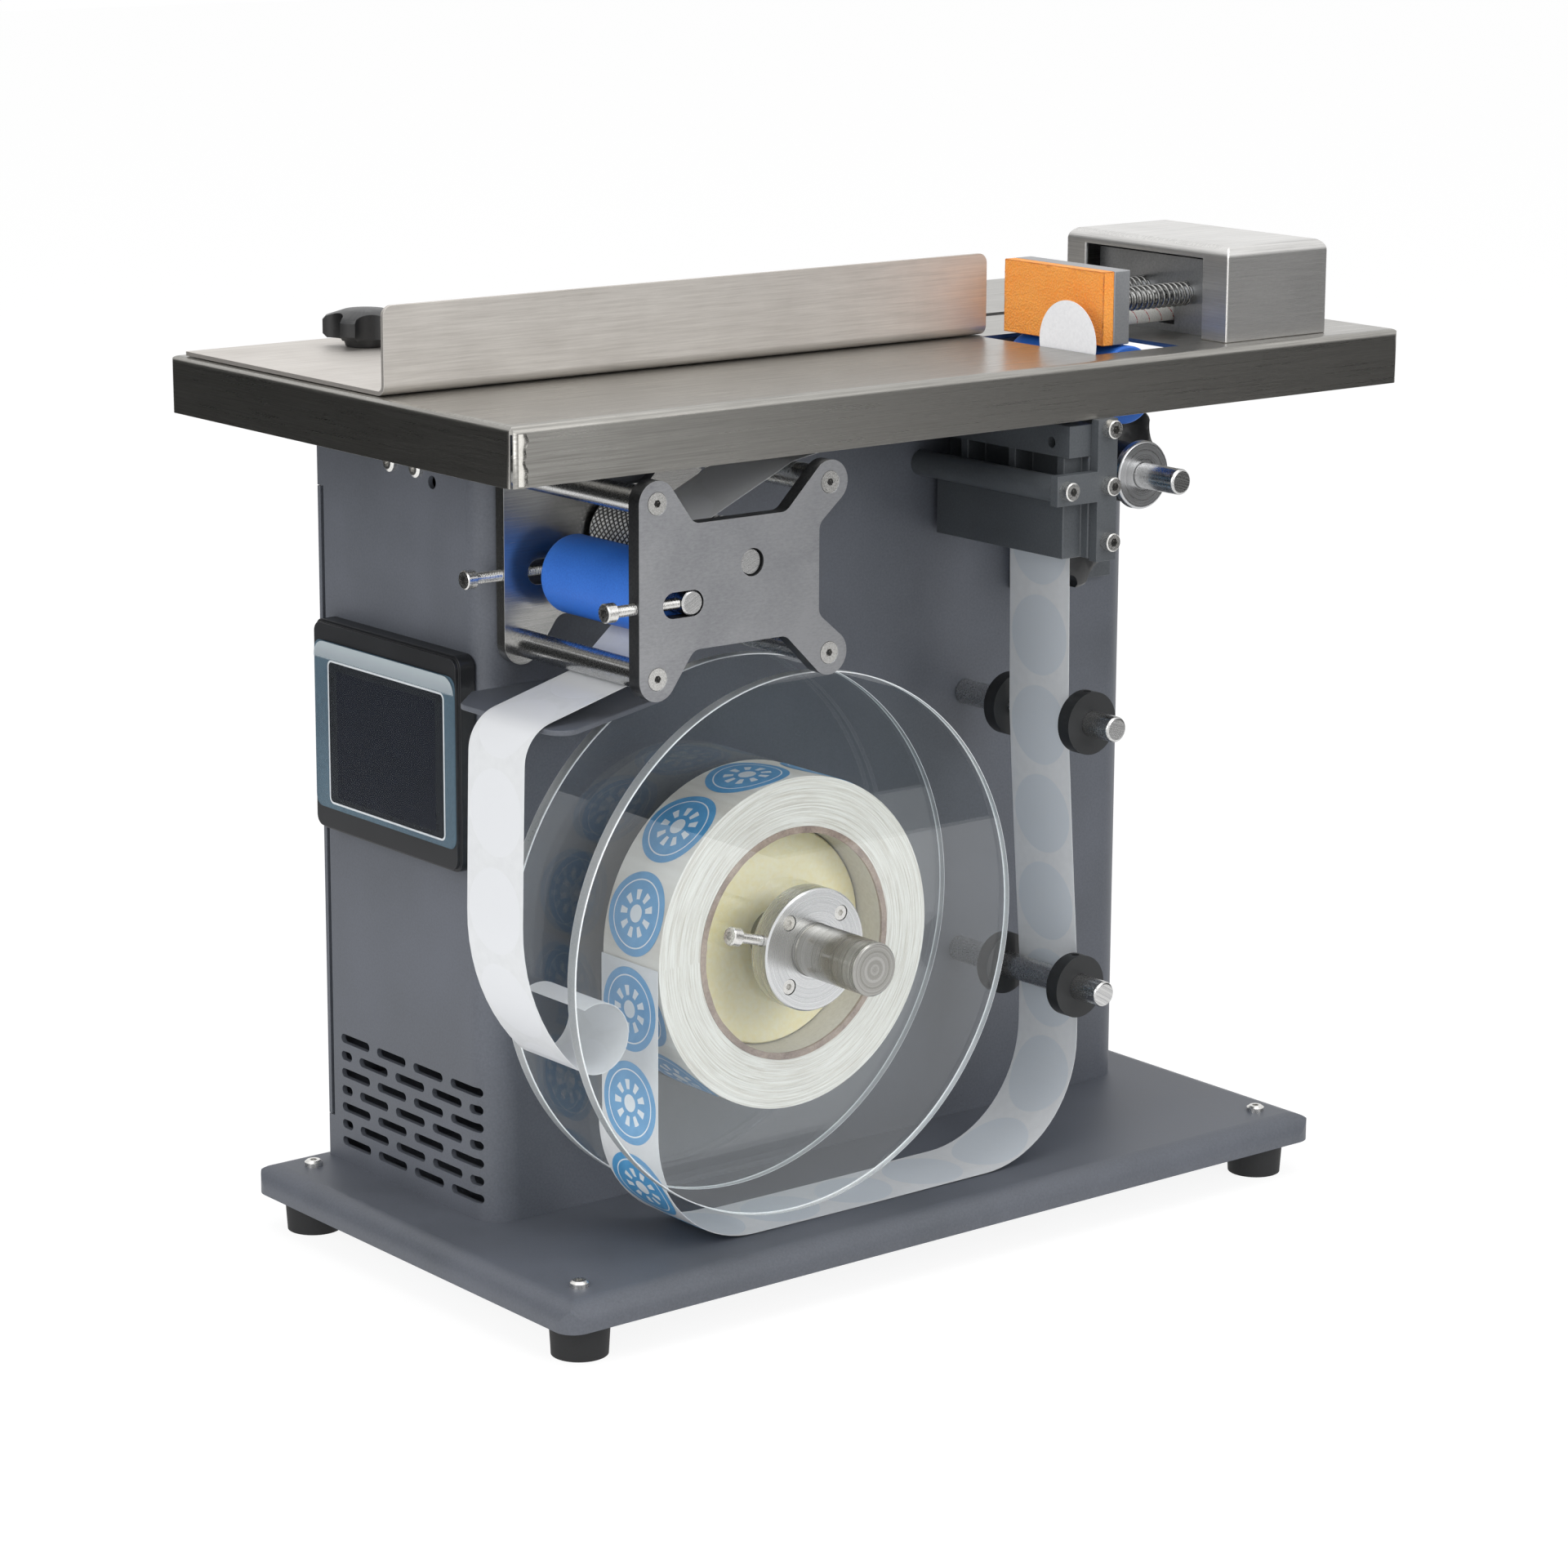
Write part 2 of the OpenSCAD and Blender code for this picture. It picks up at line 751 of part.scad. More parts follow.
// A five-lobed grip with a domed top, its flat side on z = 0 and one lobe at the angle given.
module star_grip(dia, h, lobe_at) {
    r = dia / 2;
    intersection() {
        linear_extrude(h)
            difference() {
                circle(dia / 2);
                for (i = [0:4])
                    rotate([0, 0, 72 * i + 36 + lobe_at])
                        translate([dia * 0.57, 0])
                            circle(dia * 0.24);
            }
        rotate_extrude()
            polygon([[0, 0], [r - 1.6, 0], [r, 1.6], [r, h - 4.2], [r - 1.3, h - 2.8], [r * 0.5, h - 0.6],
                [0, h]]);
    }
}

module fence_knob() color([0.05, 0.05, 0.05]) {
    top = table_top_z + lift + sheet;
    translate([knob_x, face_y + knob_back, top]) {
        difference() {
            union() {
                translate([0, 0, clear])
                    cylinder(h = 3.4, d1 = 15, d2 = 17);
                translate([0, 0, clear + 3.2])
                    star_grip(fence_knob_dia, 11, 140);
            }
            cylinder(h = 9.5, d = 6 + 2 * run);
        }
        translate([0, 0, -sheet - lift - sheet - 4])
            cylinder(h = 16, d = 6);
        translate([0, 0, -sheet - lift - sheet - clear - 4])
            cylinder(h = 4, d = 15);
    }
}

module press_box() color([0.78, 0.78, 0.77]) {
    y0 = face_y - box_reach;
    difference() {
        translate([box_x, y0, table_top_z])
            pan(box_w, box_d, box_h, box_r);
        translate([box_x + sheet, y0 + sheet, table_top_z - sheet])
            pan(box_w - 2 * sheet, box_d - 2 * sheet, box_h, box_r - sheet);
        translate([box_x - 1, y0 + 14, table_top_z - 1])
            cube([10, box_d - 25, box_h - 4.5]);
    }
}

module press_bracket() color([0.66, 0.67, 0.68]) {
    w = box_d - 27;
    y0 = face_y - 57;
    difference() {
        union() {
            translate([press_x, y0, table_top_z])
                cube([press_t, w, 30]);
            translate([press_x, y0, table_top_z])
                cube([24, w, 3]);
        }
        for (s = [-1, 1])
            translate([press_x - 1, face_y - pad_reach + s * pad_rod_gap / 2, pad_rod_z])
                rotate([0, 90, 0])
                    cylinder(h = press_t + 2, d = pad_rod_dia + 2 * run);
        translate([press_x - 1, face_y - pad_reach - 4.5, table_top_z + 3])
            cube([press_t + 2, 9, 9]);
    }
}

module press_rods() color([0.8, 0.8, 0.81]) {
    for (s = [-1, 1])
        translate([plate_back_x, face_y - pad_reach + s * pad_rod_gap / 2, pad_rod_z])
            rotate([0, 90, 0])
                cylinder(h = box_x + box_w - sheet - pad_travel - 3 - plate_back_x, d = pad_rod_dia);
}

// One compression spring along X as an unbroken tube; points follow the wire eight to a curl.
spring_l = press_x - plate_back_x - 0.4;
spring_pitch = (spring_l - spring_wire) / spring_turns;
spring_rm = (spring_od - spring_wire) / 2;
spring_n = spring_turns * 8;
function coil_at(i) = [spring_wire / 2 + spring_pitch * i / 8, spring_rm * cos(45 * i), spring_rm * sin(45 * i)];
spring_self = min([for (i = [0:spring_n - 8]) norm(coil_at(i + 8) - coil_at(i))]) - spring_wire;
echo("least gap of a spring to itself, mm", spring_self);

module coil() {
    lean = atan2(spring_pitch, 2 * PI * spring_rm);
    pts = [for (i = [0:spring_n]) for (k = [0:5])
        let(c = coil_at(i), r = [0, cos(45 * i), sin(45 * i)], t = [0, -sin(45 * i), cos(45 * i)],
            a = [cos(lean), 0, 0] - sin(lean) * t)
        c + spring_wire / 2 * (cos(60 * k) * r + sin(60 * k) * a)];
    sides = [for (i = [0:spring_n - 1]) for (k = [0:5]) for (h = [0, 1])
        let(a = 6 * i + k, b = 6 * i + (k + 1) % 6)
        h == 0 ? [a, b, b + 6] : [a, b + 6, a + 6]];
    caps = [[5, 4, 3, 2, 1, 0], [for (k = [0:5]) 6 * spring_n + k]];
    polyhedron(points = pts, faces = concat(sides, caps), convexity = 10);
}

module press_springs() color([0.78, 0.79, 0.8]) {
    for (s = [-1, 1])
        translate([plate_back_x + 0.2, face_y - pad_reach + s * pad_rod_gap / 2, pad_rod_z])
            coil();
}

module pad_plate() color([0.62, 0.63, 0.64]) {
    translate([plate_x, face_y - pad_reach - pad_w / 2, pad_z])
        cube([pad_t, pad_w, pad_h]);
}

module foam_pad() color([0.94, 0.52, 0.17]) {
    translate([foam_x, face_y - pad_reach - pad_w / 2, pad_z])
        cube([foam_t, pad_w, pad_h]);
}

module pad_lead() color([0.9, 0.89, 0.86]) {
    translate([plate_back_x, face_y - pad_reach, pad_z + 5.9])
        rotate([0, 90, 0])
            cylinder(h = press_x + 14 - plate_back_x, d = 7);
}

module table_roller() color([0.14, 0.38, 0.78]) {
    difference() {
        bar(roller_x, roller_z, roller_back, roller_front, 2 * table_roller_r);
        bar(roller_x, roller_z, roller_back - 1, roller_front + 1, 8 + 2 * run);
    }
}

module table_roller_axle() color([0.75, 0.75, 0.77]) {
    post(roller_x, roller_z, -wall - 8, slot_reach + 4.5, 8);
    bar(roller_x, roller_z, roller_front, roller_front + 3, 13);
}

module roller_bracket() color([0.68, 0.69, 0.7]) {
    difference() {
        union() {
            flat_xz(slot_reach + 0.6, 3)
                translate([roller_x - 10, table_z])
                    square([20, column_top - table_z]);
            flat_xz(slot_reach + 0.6, 11)
                translate([roller_x - 10, column_top - 3])
                    square([20, 3]);
        }
        bar(roller_x, roller_z, slot_reach, slot_reach + 5, 8 + 2 * run);
    }
}

// Heading of the line from circle a to circle b; a circle is [x, z, radius, side], side 1 keeps it on the left.
function heading(a, b) = atan2(b[1] - a[1], b[0] - a[0])
    - asin(max(-1, min(1, (b[2] * b[3] - a[2] * a[3]) / norm([b[0] - a[0], b[1] - a[1]]))));
function leave(c, t) = [c[0] + c[3] * c[2] * sin(t), c[1] - c[3] * c[2] * cos(t), t];
function turn(a) = let(w = a - 360 * floor(a / 360)) w > 340 ? w - 360 : w;
// Points [x, z, heading] of a strip that runs round the circles in turn.
function wrap(c) = let(n = len(c), t = [for (i = [0:n - 2]) heading(c[i], c[i + 1])])
    [for (i = [0:n - 1])
        let(first = t[max(0, i - 1)], last = t[min(n - 2, i)],
            sweep = c[i][3] > 0 ? turn(last - first) : -turn(first - last),
            steps = i == 0 || i == n - 1 ? 0 : max(1, ceil(abs(sweep) / 9)))
        for (j = [0:steps]) leave(c[i], first + (steps == 0 ? 0 : sweep * j / steps))];

// The side view of a strip t thick along such points.
module strip(p, t) {
    polygon(concat(
        [for (q = p) [q[0] - t / 2 * sin(q[2]), q[1] + t / 2 * cos(q[2])]],
        [for (i = [len(p) - 1:-1:0]) [p[i][0] + t / 2 * sin(p[i][2]), p[i][1] - t / 2 * cos(p[i][2])]]));
}

skin = clear + web_t / 2;
loop_r = 46;
web_low = base_top + skin;
web_left = reel_x - roll_r - skin;
low_right = low_x + rod_dia / 2 + skin;
web_line = wrap([
    [reel_x, reel_z, roll_r + skin, 1],
    [web_left + loop_r, web_low + loop_r, loop_r, 1],
    [low_right - loop_r, web_low + loop_r, loop_r, 1],
    [low_x, low_z, rod_dia / 2 + skin, 1],
    [post_x, post_z, rod_dia / 2 + skin, -1],
    [head_x, table_z - 46.5, standoff_dia / 2 + skin, -1],
    [head_x, table_z - 3.6, standoff_dia / 2 + skin, -1],
    [peel_x, peel_z, peel_r + skin, 1]]);
peel_t = web_line[len(web_line) - 1][2];
tail_x = defl_l - 9.5 + 75;
tail_z = table_z - 160;
liner_line = wrap([
    [peel_x, peel_z, peel_r + skin, 1],
    [peel_x, peel_z + 0.01, peel_r + skin, 1],
    [rod_rx, rod_tz, rod_dia / 2 + skin, 1],
    [drive_x, drive_z, drive_r + skin, 1],
    [pinch_x, pinch_z, pinch_r + skin, -1],
    [rod_lx, rod_bz, rod_dia / 2 + skin, -1],
    [defl_l + 7, defl_top - 12.9, 15, 1],
    [tail_x, tail_z, 75, 1],
    [tail_x - 62 * cos(45), tail_z - 62 * sin(45), 13, 1],
    [tail_x - 62 * cos(45) - 6, tail_z - 62 * sin(45) + 11.5, 0, 1]]);

module label_web() color([0.93, 0.9, 0.8]) {
    flat_xz(web_back, web_w)
        strip(web_line, web_t);
}

module liner_web() color([0.95, 0.94, 0.88]) {
    flat_xz(web_back, web_w)
        strip([for (i = [2:len(liner_line) - 1]) liner_line[i]], web_t);
}

module standing_label() color([0.96, 0.95, 0.92]) {
    intersection() {
        translate([slot_x + 0.4, face_y - web_reach, table_top_z + 3])
            rotate([0, 90, 0])
                cylinder(h = web_t, d = web_w - 2);
        translate([slot_x, face_y - web_reach - web_w, column_top])
            cube([10, 2 * web_w, 60]);
    }
}

// The peel bar: a rail under the table with a thin nose on the liner side of the web.
module peel_bar() color([0.35, 0.37, 0.39]) {
    run_l = (peel_z - rail_top - 1) / sin(peel_t);
    difference() {
        union() {
            flat_xz(web_back - 2, web_w + 4) {
                translate([peel_x, peel_z])
                    circle(peel_r);
                translate([peel_x, peel_z])
                    rotate([0, 0, peel_t])
                        translate([-run_l, -peel_r])
                            square([run_l, 2 * peel_r]);
                translate([side_x - 9, rail_top])
                    square([peel_x - run_l * cos(peel_t) - side_x + 9, 1.8]);
            }
            flat_xz(bracket_t, head_d - bracket_t)
                translate([side_x - 12, table_z - 14])
                    square([12, 12.01]);
        }
        translate([side_x - 6, face_y - head_d + 10, table_z - 9])
            rotate([0, -90, 0])
                cylinder(h = 8, d = 4.2);
    }
}

knob_up = [slot_x + 49.5, table_z - 20];
knob_low = [slot_x + 22.5, table_z - 62];
side_l = side_x - 11;
ledge_z = table_z - 24.5;

// The peel head's angle: a thick side plate beside the web, with three ribs up to the rail, and a back flange
// on the column, clamped by two knobs.
module head_angle() color([0.35, 0.37, 0.39]) {
    difference() {
        union() {
            flat_xz(bracket_t - 1, head_d - bracket_t + 1)
                translate([side_x - 2, table_z - 53])
                    square([2, 39]);
            flat_xz(bracket_t - 1, head_d - 2 * bracket_t + 1)
                translate([side_l, table_z - 53])
                    square([side_x - side_l - 1, ledge_z - table_z + 53]);
            for (d = [17, 44.5, head_d - bracket_t - 4])
                flat_xz(d, 4)
                    translate([side_l, ledge_z - 1])
                        square([side_x - side_l - 1, table_z - 13 - ledge_z]);
            flat_xz(0, bracket_t)
                translate([side_x - 2, table_z - 80])
                    square([slot_x + 70 - side_x, 79.5]);
        }
        for (k = [knob_up, knob_low])
            bar(k[0], k[1], -1, bracket_t + 1, 6 + 2 * screw_gap);
    }
}

head_sx = [head_x, head_x, head_x, slot_x - 29.5];
head_sz = [table_z - 3.6, table_z - 25.2, table_z - 46.5, table_z - 25.2];

module head_front_plate() color([0.35, 0.37, 0.39]) {
    difference() {
        flat_xz(head_d, 4) {
            translate([side_x - 1, table_z - 54])
                square([head_x + 4.5 - side_x + 1, 54]);
            translate([slot_x - 34, table_z - 31])
                square([side_x - slot_x + 34, 11.5]);
        }
        for (i = [0:3])
            bar(head_sx[i], head_sz[i], head_d - 1, head_d + 5, m4 + 2 * screw_gap);
    }
}

module head_rods() color([0.6, 0.6, 0.62]) {
    difference() {
        for (i = [0:3])
            bar(head_sx[i], head_sz[i], i == 3 ? 0 : bracket_t, head_d, i == 3 ? rod_dia : standoff_dia);
        for (i = [0:3])
            bar(head_sx[i], head_sz[i], head_d - 9, head_d + 1, m4 + 2 * screw_gap);
    }
}

// A socket-head cap screw, its head on z = 0 and its shank l long below.
module cap_screw(l) {
    difference() {
        union() {
            cylinder(h = 3.6, d = m4_head);
            translate([0, 0, 3.6])
                cylinder(h = 0.4, d1 = m4_head, d2 = m4_head - 0.8);
            translate([0, 0, -l])
                cylinder(h = l, d = m4);
        }
        translate([0, 0, 1.8])
            cylinder(h = 3, d = 3.4, $fn = 6);
    }
}

module head_screws() color([0.5, 0.5, 0.52]) {
    for (i = [0:3])
        translate([head_sx[i], face_y - head_d - 4, head_sz[i]])
            rotate([90, 0, 0])
                cap_screw(11);
}

// A star knob along Y with its stud, standing on the back flange.
module head_knob(k, lobe_at) {
    translate([k[0], face_y - bracket_t - clear, k[1]])
        rotate([90, 0, 0]) {
            cylinder(h = 22, d = 12);
            translate([0, 0, 21])
                star_grip(knob_dia, 12, lobe_at);
        }
    bar(k[0], k[1], clear, bracket_t + 1, 6);
}

module head_knob_upper() color([0.05, 0.05, 0.05]) {
    head_knob(knob_up, 50);
}

module head_knob_lower() color([0.05, 0.05, 0.05]) {
    head_knob(knob_low, -8);
}

module guide_roller() color([0.07, 0.07, 0.07]) {
    difference() {
        bar(roller_x, drum_z, 18, 68, 2 * guide_roller_r);
        bar(roller_x, drum_z, 17, 69, rod_dia + 2 * run);
    }
}

module roller_flange() color([0.8, 0.8, 0.82]) {
    difference() {
        union() {
            bar(roller_x, drum_z, 68, 70.4, 2 * flange_r);
            translate([roller_x, face_y - 70.4, drum_z])
                rotate([90, 0, 0])
                    cylinder(h = edge, r1 = flange_r, r2 = flange_r - edge);
        }
        bar(roller_x, drum_z, 67, 72, rod_dia + 2 * run);
    }
}

module guide_posts() color([0.82, 0.82, 0.83]) {
    post(post_x, post_z, 0, post_reach, rod_dia);
    post(low_x, low_z, 0, post_reach, rod_dia);
    post(roller_x, drum_z, bracket_t, post_reach + 3.5, rod_dia);
}

collar_gap = 1.5;

// A plain guide collar on a post, its back at reach d0, with a set screw hole in its top.
module guide_collar(x, z, d0) {
    difference() {
        bar(x, z, d0, d0 + guide_t, guide_dia);
        bar(x, z, d0 - 1, d0 + guide_t + 1, rod_dia + 2 * run);
        translate([x, face_y - d0 - guide_t / 2, z])
            cylinder(h = guide_dia, d = 3.2);
    }
}

module guide_collars_rear() color([0.07, 0.07, 0.07]) {
    guide_collar(post_x, post_z, web_back - collar_gap - guide_t);
    guide_collar(low_x, low_z, web_back - collar_gap - guide_t);
}

module guide_collar_upper() color([0.07, 0.07, 0.07]) {
    guide_collar(post_x, post_z, web_back + web_w + collar_gap);
}

module guide_collar_lower() color([0.07, 0.07, 0.07]) {
    guide_collar(low_x, low_z, web_back + web_w + collar_gap);
}

function touch(p, c, s) = let(d = p - c, a = atan2(d[1], d[0]) + s * acos(lobe_r / norm(d)))
    c + (lobe_r - 0.02) * [cos(a), sin(a)];

// The arc of radius r that rounds the corner p between its neighbours a and b.
function fillet(a, p, b, r) = let(u = (a - p) / norm(a - p), v = (b - p) / norm(b - p), h = acos(u * v) / 2,
    c = p + (u + v) / norm(u + v) * r / sin(h), s = p + u * r / tan(h) - c, e = p + v * r / tan(h) - c,
    a0 = atan2(s[1], s[0]), w = atan2(e[1], e[0]) - a0, k = w > 180 ? w - 360 : w < -180 ? w + 360 : w)
    [for (i = [0:6]) c + r * [cos(a0 + k * i / 6), sin(a0 + k * i / 6)]];

// A side plate's blank from reach d0: a waisted body with a lobe round each spacer rod.
module plate_blank(d0, t) {
    waist_r = 5;
    hx = rod_pitch_x / 2;
    hz = rod_pitch_z / 2;
    fl = [-22.5, waist_z];
    fr = [18.5, waist_z];
    gr = [33.6, waist_z - 6];
    tl = [-hx, hz];
    tr = [hx, hz];
    a = touch(fl, tl, 1);
    b = touch(fr, tr, -1);
    c = touch(gr, tr, 1);
    up = concat([[-hx - lobe_r + 0.02, hz], a], fillet(a, fl, fr, waist_r), fillet(fl, fr, b, waist_r), [b, c],
        fillet(c, gr, [gr[0], -gr[1]], waist_r));
    down = [for (i = [len(up) - 1:-1:0]) [up[i][0], -up[i][1]]];
    flat_xz(d0, t)
        translate([station_x, station_z])
            polygon(concat(up, down));
    for (p = rods)
        bar(p[0], p[1], d0, d0 + t, 2 * lobe_r);
}

// The slot that the pinch axle slides in.
module axle_slot() {
    r = axle_dia / 2 + 0.2;
    translate([pinch_x, pinch_z])
        circle(r);
    translate([pinch_x - pinch_travel - clear, pinch_z])
        circle(r);
    translate([pinch_x - pinch_travel - clear, pinch_z - r])
        square([pinch_travel + clear, 2 * r]);
}

rods = [[rod_lx, rod_bz], [rod_lx, rod_tz], [rod_rx, rod_bz], [rod_rx, rod_tz]];

// One side plate from reach d0, t thick, with its slot and bores.
module side_plate(d0, t) {
    difference() {
        plate_blank(d0, t);
        flat_xz(d0 - 1, t + 2)
            axle_slot();
        bar(drive_x, drive_z, d0 - 1, d0 + t + 1, drive_shaft_dia + 2 * run);
        for (p = rods)
            bar(p[0], p[1], d0 - 1, d0 + t + 1, m4 + 2 * screw_gap);
        translate([pinch_x, face_y - d0 - t / 2, pinch_z])
            rotate([0, -90, 0])
                cylinder(h = 60, d = m4 + 2 * screw_gap);
    }
}

module inner_plate() color([0.74, 0.75, 0.77]) {
    side_plate(0, inner_t);
}

module outer_plate() color([0.74, 0.75, 0.77]) {
    difference() {
        side_plate(outer_back, outer_t);
        for (p = rods)
            translate([p[0], face_y - outer_front + 2.2, p[1]])
                rotate([90, 0, 0])
                    cylinder(h = 2.2 + 0.01, d1 = m4, d2 = 8.4);
    }
}

module spacer_rods() color([0.8, 0.8, 0.82]) {
    for (p = rods)
        difference() {
            bar(p[0], p[1], inner_t, outer_back, rod_dia);
            bar(p[0], p[1], outer_back - 12, outer_back + 1, m4 + 2 * screw_gap);
        }
}

module plate_screws() color([0.5, 0.5, 0.52]) {
    for (p = rods)
        difference() {
            union() {
                translate([p[0], face_y - outer_front + 2, p[1]])
                    rotate([90, 0, 0])
                        cylinder(h = 2, d1 = m4, d2 = 8);
                bar(p[0], p[1], outer_back - 10, outer_front - 1.9, m4);
            }
            translate([p[0], face_y - outer_front + 1.6, p[1]])
                rotate([90, 0, 0])
                    cylinder(h = 3, d = 2.9, $fn = 6);
        }
}

module drive_roller() color([0.5, 0.5, 0.52]) {
    post(drive_x, drive_z, pulley_back - 8, outer_front - 1.3, drive_shaft_dia);
    bar(drive_x, drive_z, inner_t + 2, outer_back - 2, 2 * drive_r);
}

module pinch_axle() color([0.75, 0.75, 0.77]) {
    post(pinch_x, pinch_z, 0.5, outer_front, axle_dia);
}

module pinch_roller() color([0.14, 0.38, 0.78]) {
    difference() {
        bar(pinch_x, pinch_z, inner_t + 9.5, outer_back - 3, 2 * pinch_r);
        bar(pinch_x, pinch_z, inner_t, outer_back, axle_dia + 2 * run);
    }
}

module tension_screws() color([0.55, 0.55, 0.57]) {
    reach = pinch_x - axle_dia / 2 - 0.2;
    translate([rod_lx - 17, face_y - outer_back - outer_t / 2, pinch_z])
        rotate([0, -90, 0])
            cap_screw(reach - rod_lx + 17);
    translate([rod_lx - 20, face_y - inner_t / 2, pinch_z])
        rotate([0, -90, 0])
            cap_screw(reach - rod_lx + 20);
}

module liner_deflector() color([0.35, 0.37, 0.39]) {
    corner = column_l + column_r + 2;
    inner = rod_lx + 30;
    tip = [defl_l, face_y - 16];
    nose = [defl_l, face_y - 78.5];
    heel = [defl_l + 15.5, face_y - 0.8];
    toe = [inner, face_y - 49.5];
    translate([0, 0, defl_top - 2])
        linear_extrude(2)
            polygon(concat([[inner, face_y], [corner, face_y], heel], fillet(heel, tip, nose, 6),
                fillet(tip, nose, toe, 7), [toe]));
    translate([corner, face_y - 1.5, defl_top - 13])
        cube([inner - corner, 1.5, 12]);
}

module reel_shaft() color([0.82, 0.82, 0.83]) {
    bar(reel_x, reel_z, -66, collar_back + collar_t + 0.5, reel_shaft_dia);
    bar(reel_x, reel_z, collar_back + collar_t, collar_back + collar_t + 2, reel_shaft_dia - 0.6);
    post(reel_x, reel_z, collar_back + collar_t + 1.5, shaft_reach, reel_shaft_dia);
    bar(reel_x, reel_z, 4, disc_back, reel_shaft_dia + 16);
    bar(reel_x, reel_z, -68, -63, reel_shaft_dia + 10);
}

module side_disc(d0) {
    difference() {
        bar(reel_x, reel_z, d0, d0 + disc_t, 2 * disc_r);
        bar(reel_x, reel_z, d0 - 1, d0 + disc_t + 1, reel_shaft_dia + 2 * run);
    }
}

module rear_disc() color([0.85, 0.9, 0.93, 0.4]) {
    side_disc(disc_back);
}

module front_disc() color([0.85, 0.9, 0.93, 0.4]) {
    side_disc(disc_front);
}

module core_hub() color([0.9, 0.87, 0.68]) {
    difference() {
        union() {
            bar(reel_x, reel_z, disc_back + disc_t, hub_front - edge, 2 * (core_r - core_wall - 0.4));
            translate([reel_x, face_y - hub_front + edge, reel_z])
                rotate([90, 0, 0])
                    cylinder(h = edge, r1 = core_r - core_wall - 0.4, r2 = core_r - core_wall - 0.4 - edge);
        }
        bar(reel_x, reel_z, disc_back, hub_front + 1, reel_shaft_dia + 2 * run);
    }
}

module paper_core() color([0.62, 0.45, 0.3]) {
    difference() {
        bar(reel_x, reel_z, web_back, web_back + web_w, 2 * core_r);
        bar(reel_x, reel_z, web_back - 1, web_back + web_w + 1, 2 * (core_r - core_wall));
    }
}

module label_roll() color([0.9, 0.88, 0.84]) {
    difference() {
        bar(reel_x, reel_z, web_back, web_back + web_w, 2 * roll_r);
        bar(reel_x, reel_z, web_back - 1, web_back + web_w + 1, 2 * core_r + 0.1);
    }
}

thumb_ang = 16;
collar_back = disc_front + disc_t;

module clamp_collar() color([0.8, 0.8, 0.82]) {
    difference() {
        union() {
            bar(reel_x, reel_z, collar_back, collar_back + collar_t - edge, collar_dia);
            translate([reel_x, face_y - collar_back - collar_t + edge, reel_z])
                rotate([90, 0, 0])
                    cylinder(h = edge, d1 = collar_dia, d2 = collar_dia - 2 * edge);
        }
        bar(reel_x, reel_z, collar_back - 1, collar_back + collar_t + 1, reel_shaft_dia + 2 * run);
        for (i = [0:3])
            translate([reel_x + 17 * cos(90 * i + 45), face_y - collar_back, reel_z + 17 * sin(90 * i + 45)])
                rotate([90, 0, 0]) {
                    translate([0, 0, collar_t - 3.4])
                        cylinder(h = 5, d = 6);
                    translate([0, 0, -1])
                        cylinder(h = collar_t + 2, d = 3 + 2 * screw_gap);
                }
        translate([reel_x, face_y - collar_back - collar_t / 2, reel_z])
            rotate([0, thumb_ang - 90, 0])
                cylinder(h = collar_dia, d = m4 + 2 * screw_gap);
    }
}

module collar_screws() color([0.5, 0.5, 0.52]) {
    for (i = [0:3])
        translate([reel_x + 17 * cos(90 * i + 45), face_y - collar_back - collar_t + 3.4,
            reel_z + 17 * sin(90 * i + 45)])
            rotate([90, 0, 0])
                difference() {
                    union() {
                        cylinder(h = 3, d = 5.5);
                        translate([0, 0, -collar_t + 3.6])
                            cylinder(h = collar_t - 3.6, d = 3);
                    }
                    translate([0, 0, 1.4])
                        cylinder(h = 3, d = 2.6, $fn = 6);
                }
    translate([reel_x, face_y - collar_back - collar_t / 2, reel_z])
        rotate([0, thumb_ang - 90, 0])
            translate([0, 0, collar_dia / 2 + 11])
                cap_screw(collar_dia / 2 + 11 - reel_shaft_dia / 2 - 0.1);
}

base_plate();
rubber_feet();
housing_screws();
column_housing();
rear_cover();
hmi_bezel();
hmi_screen();
power_inlet();
rocker();
reel_bearing();
drive_motor();
motor_pulley();
drive_belt();
drive_pulley();
table_top();
fence();
fence_knob();
press_box();
press_bracket();
press_rods();
press_springs();
pad_plate();
foam_pad();
pad_lead();
table_roller();
table_roller_axle();
roller_bracket();
peel_bar();
head_angle();
head_front_plate();
head_rods();
head_screws();
head_knob_upper();
head_knob_lower();
guide_roller();
roller_flange();
guide_posts();
guide_collars_rear();
guide_collar_upper();
guide_collar_lower();
inner_plate();
outer_plate();
spacer_rods();
plate_screws();
drive_roller();
pinch_axle();
pinch_roller();
tension_screws();
liner_deflector();
liner_web();
label_web();
standing_label();
reel_shaft();
rear_disc();
front_disc();
core_hub();
paper_core();
label_roll();
clamp_collar();
collar_screws();
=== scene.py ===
import math
import random

import bpy
from mathutils import Matrix, Vector


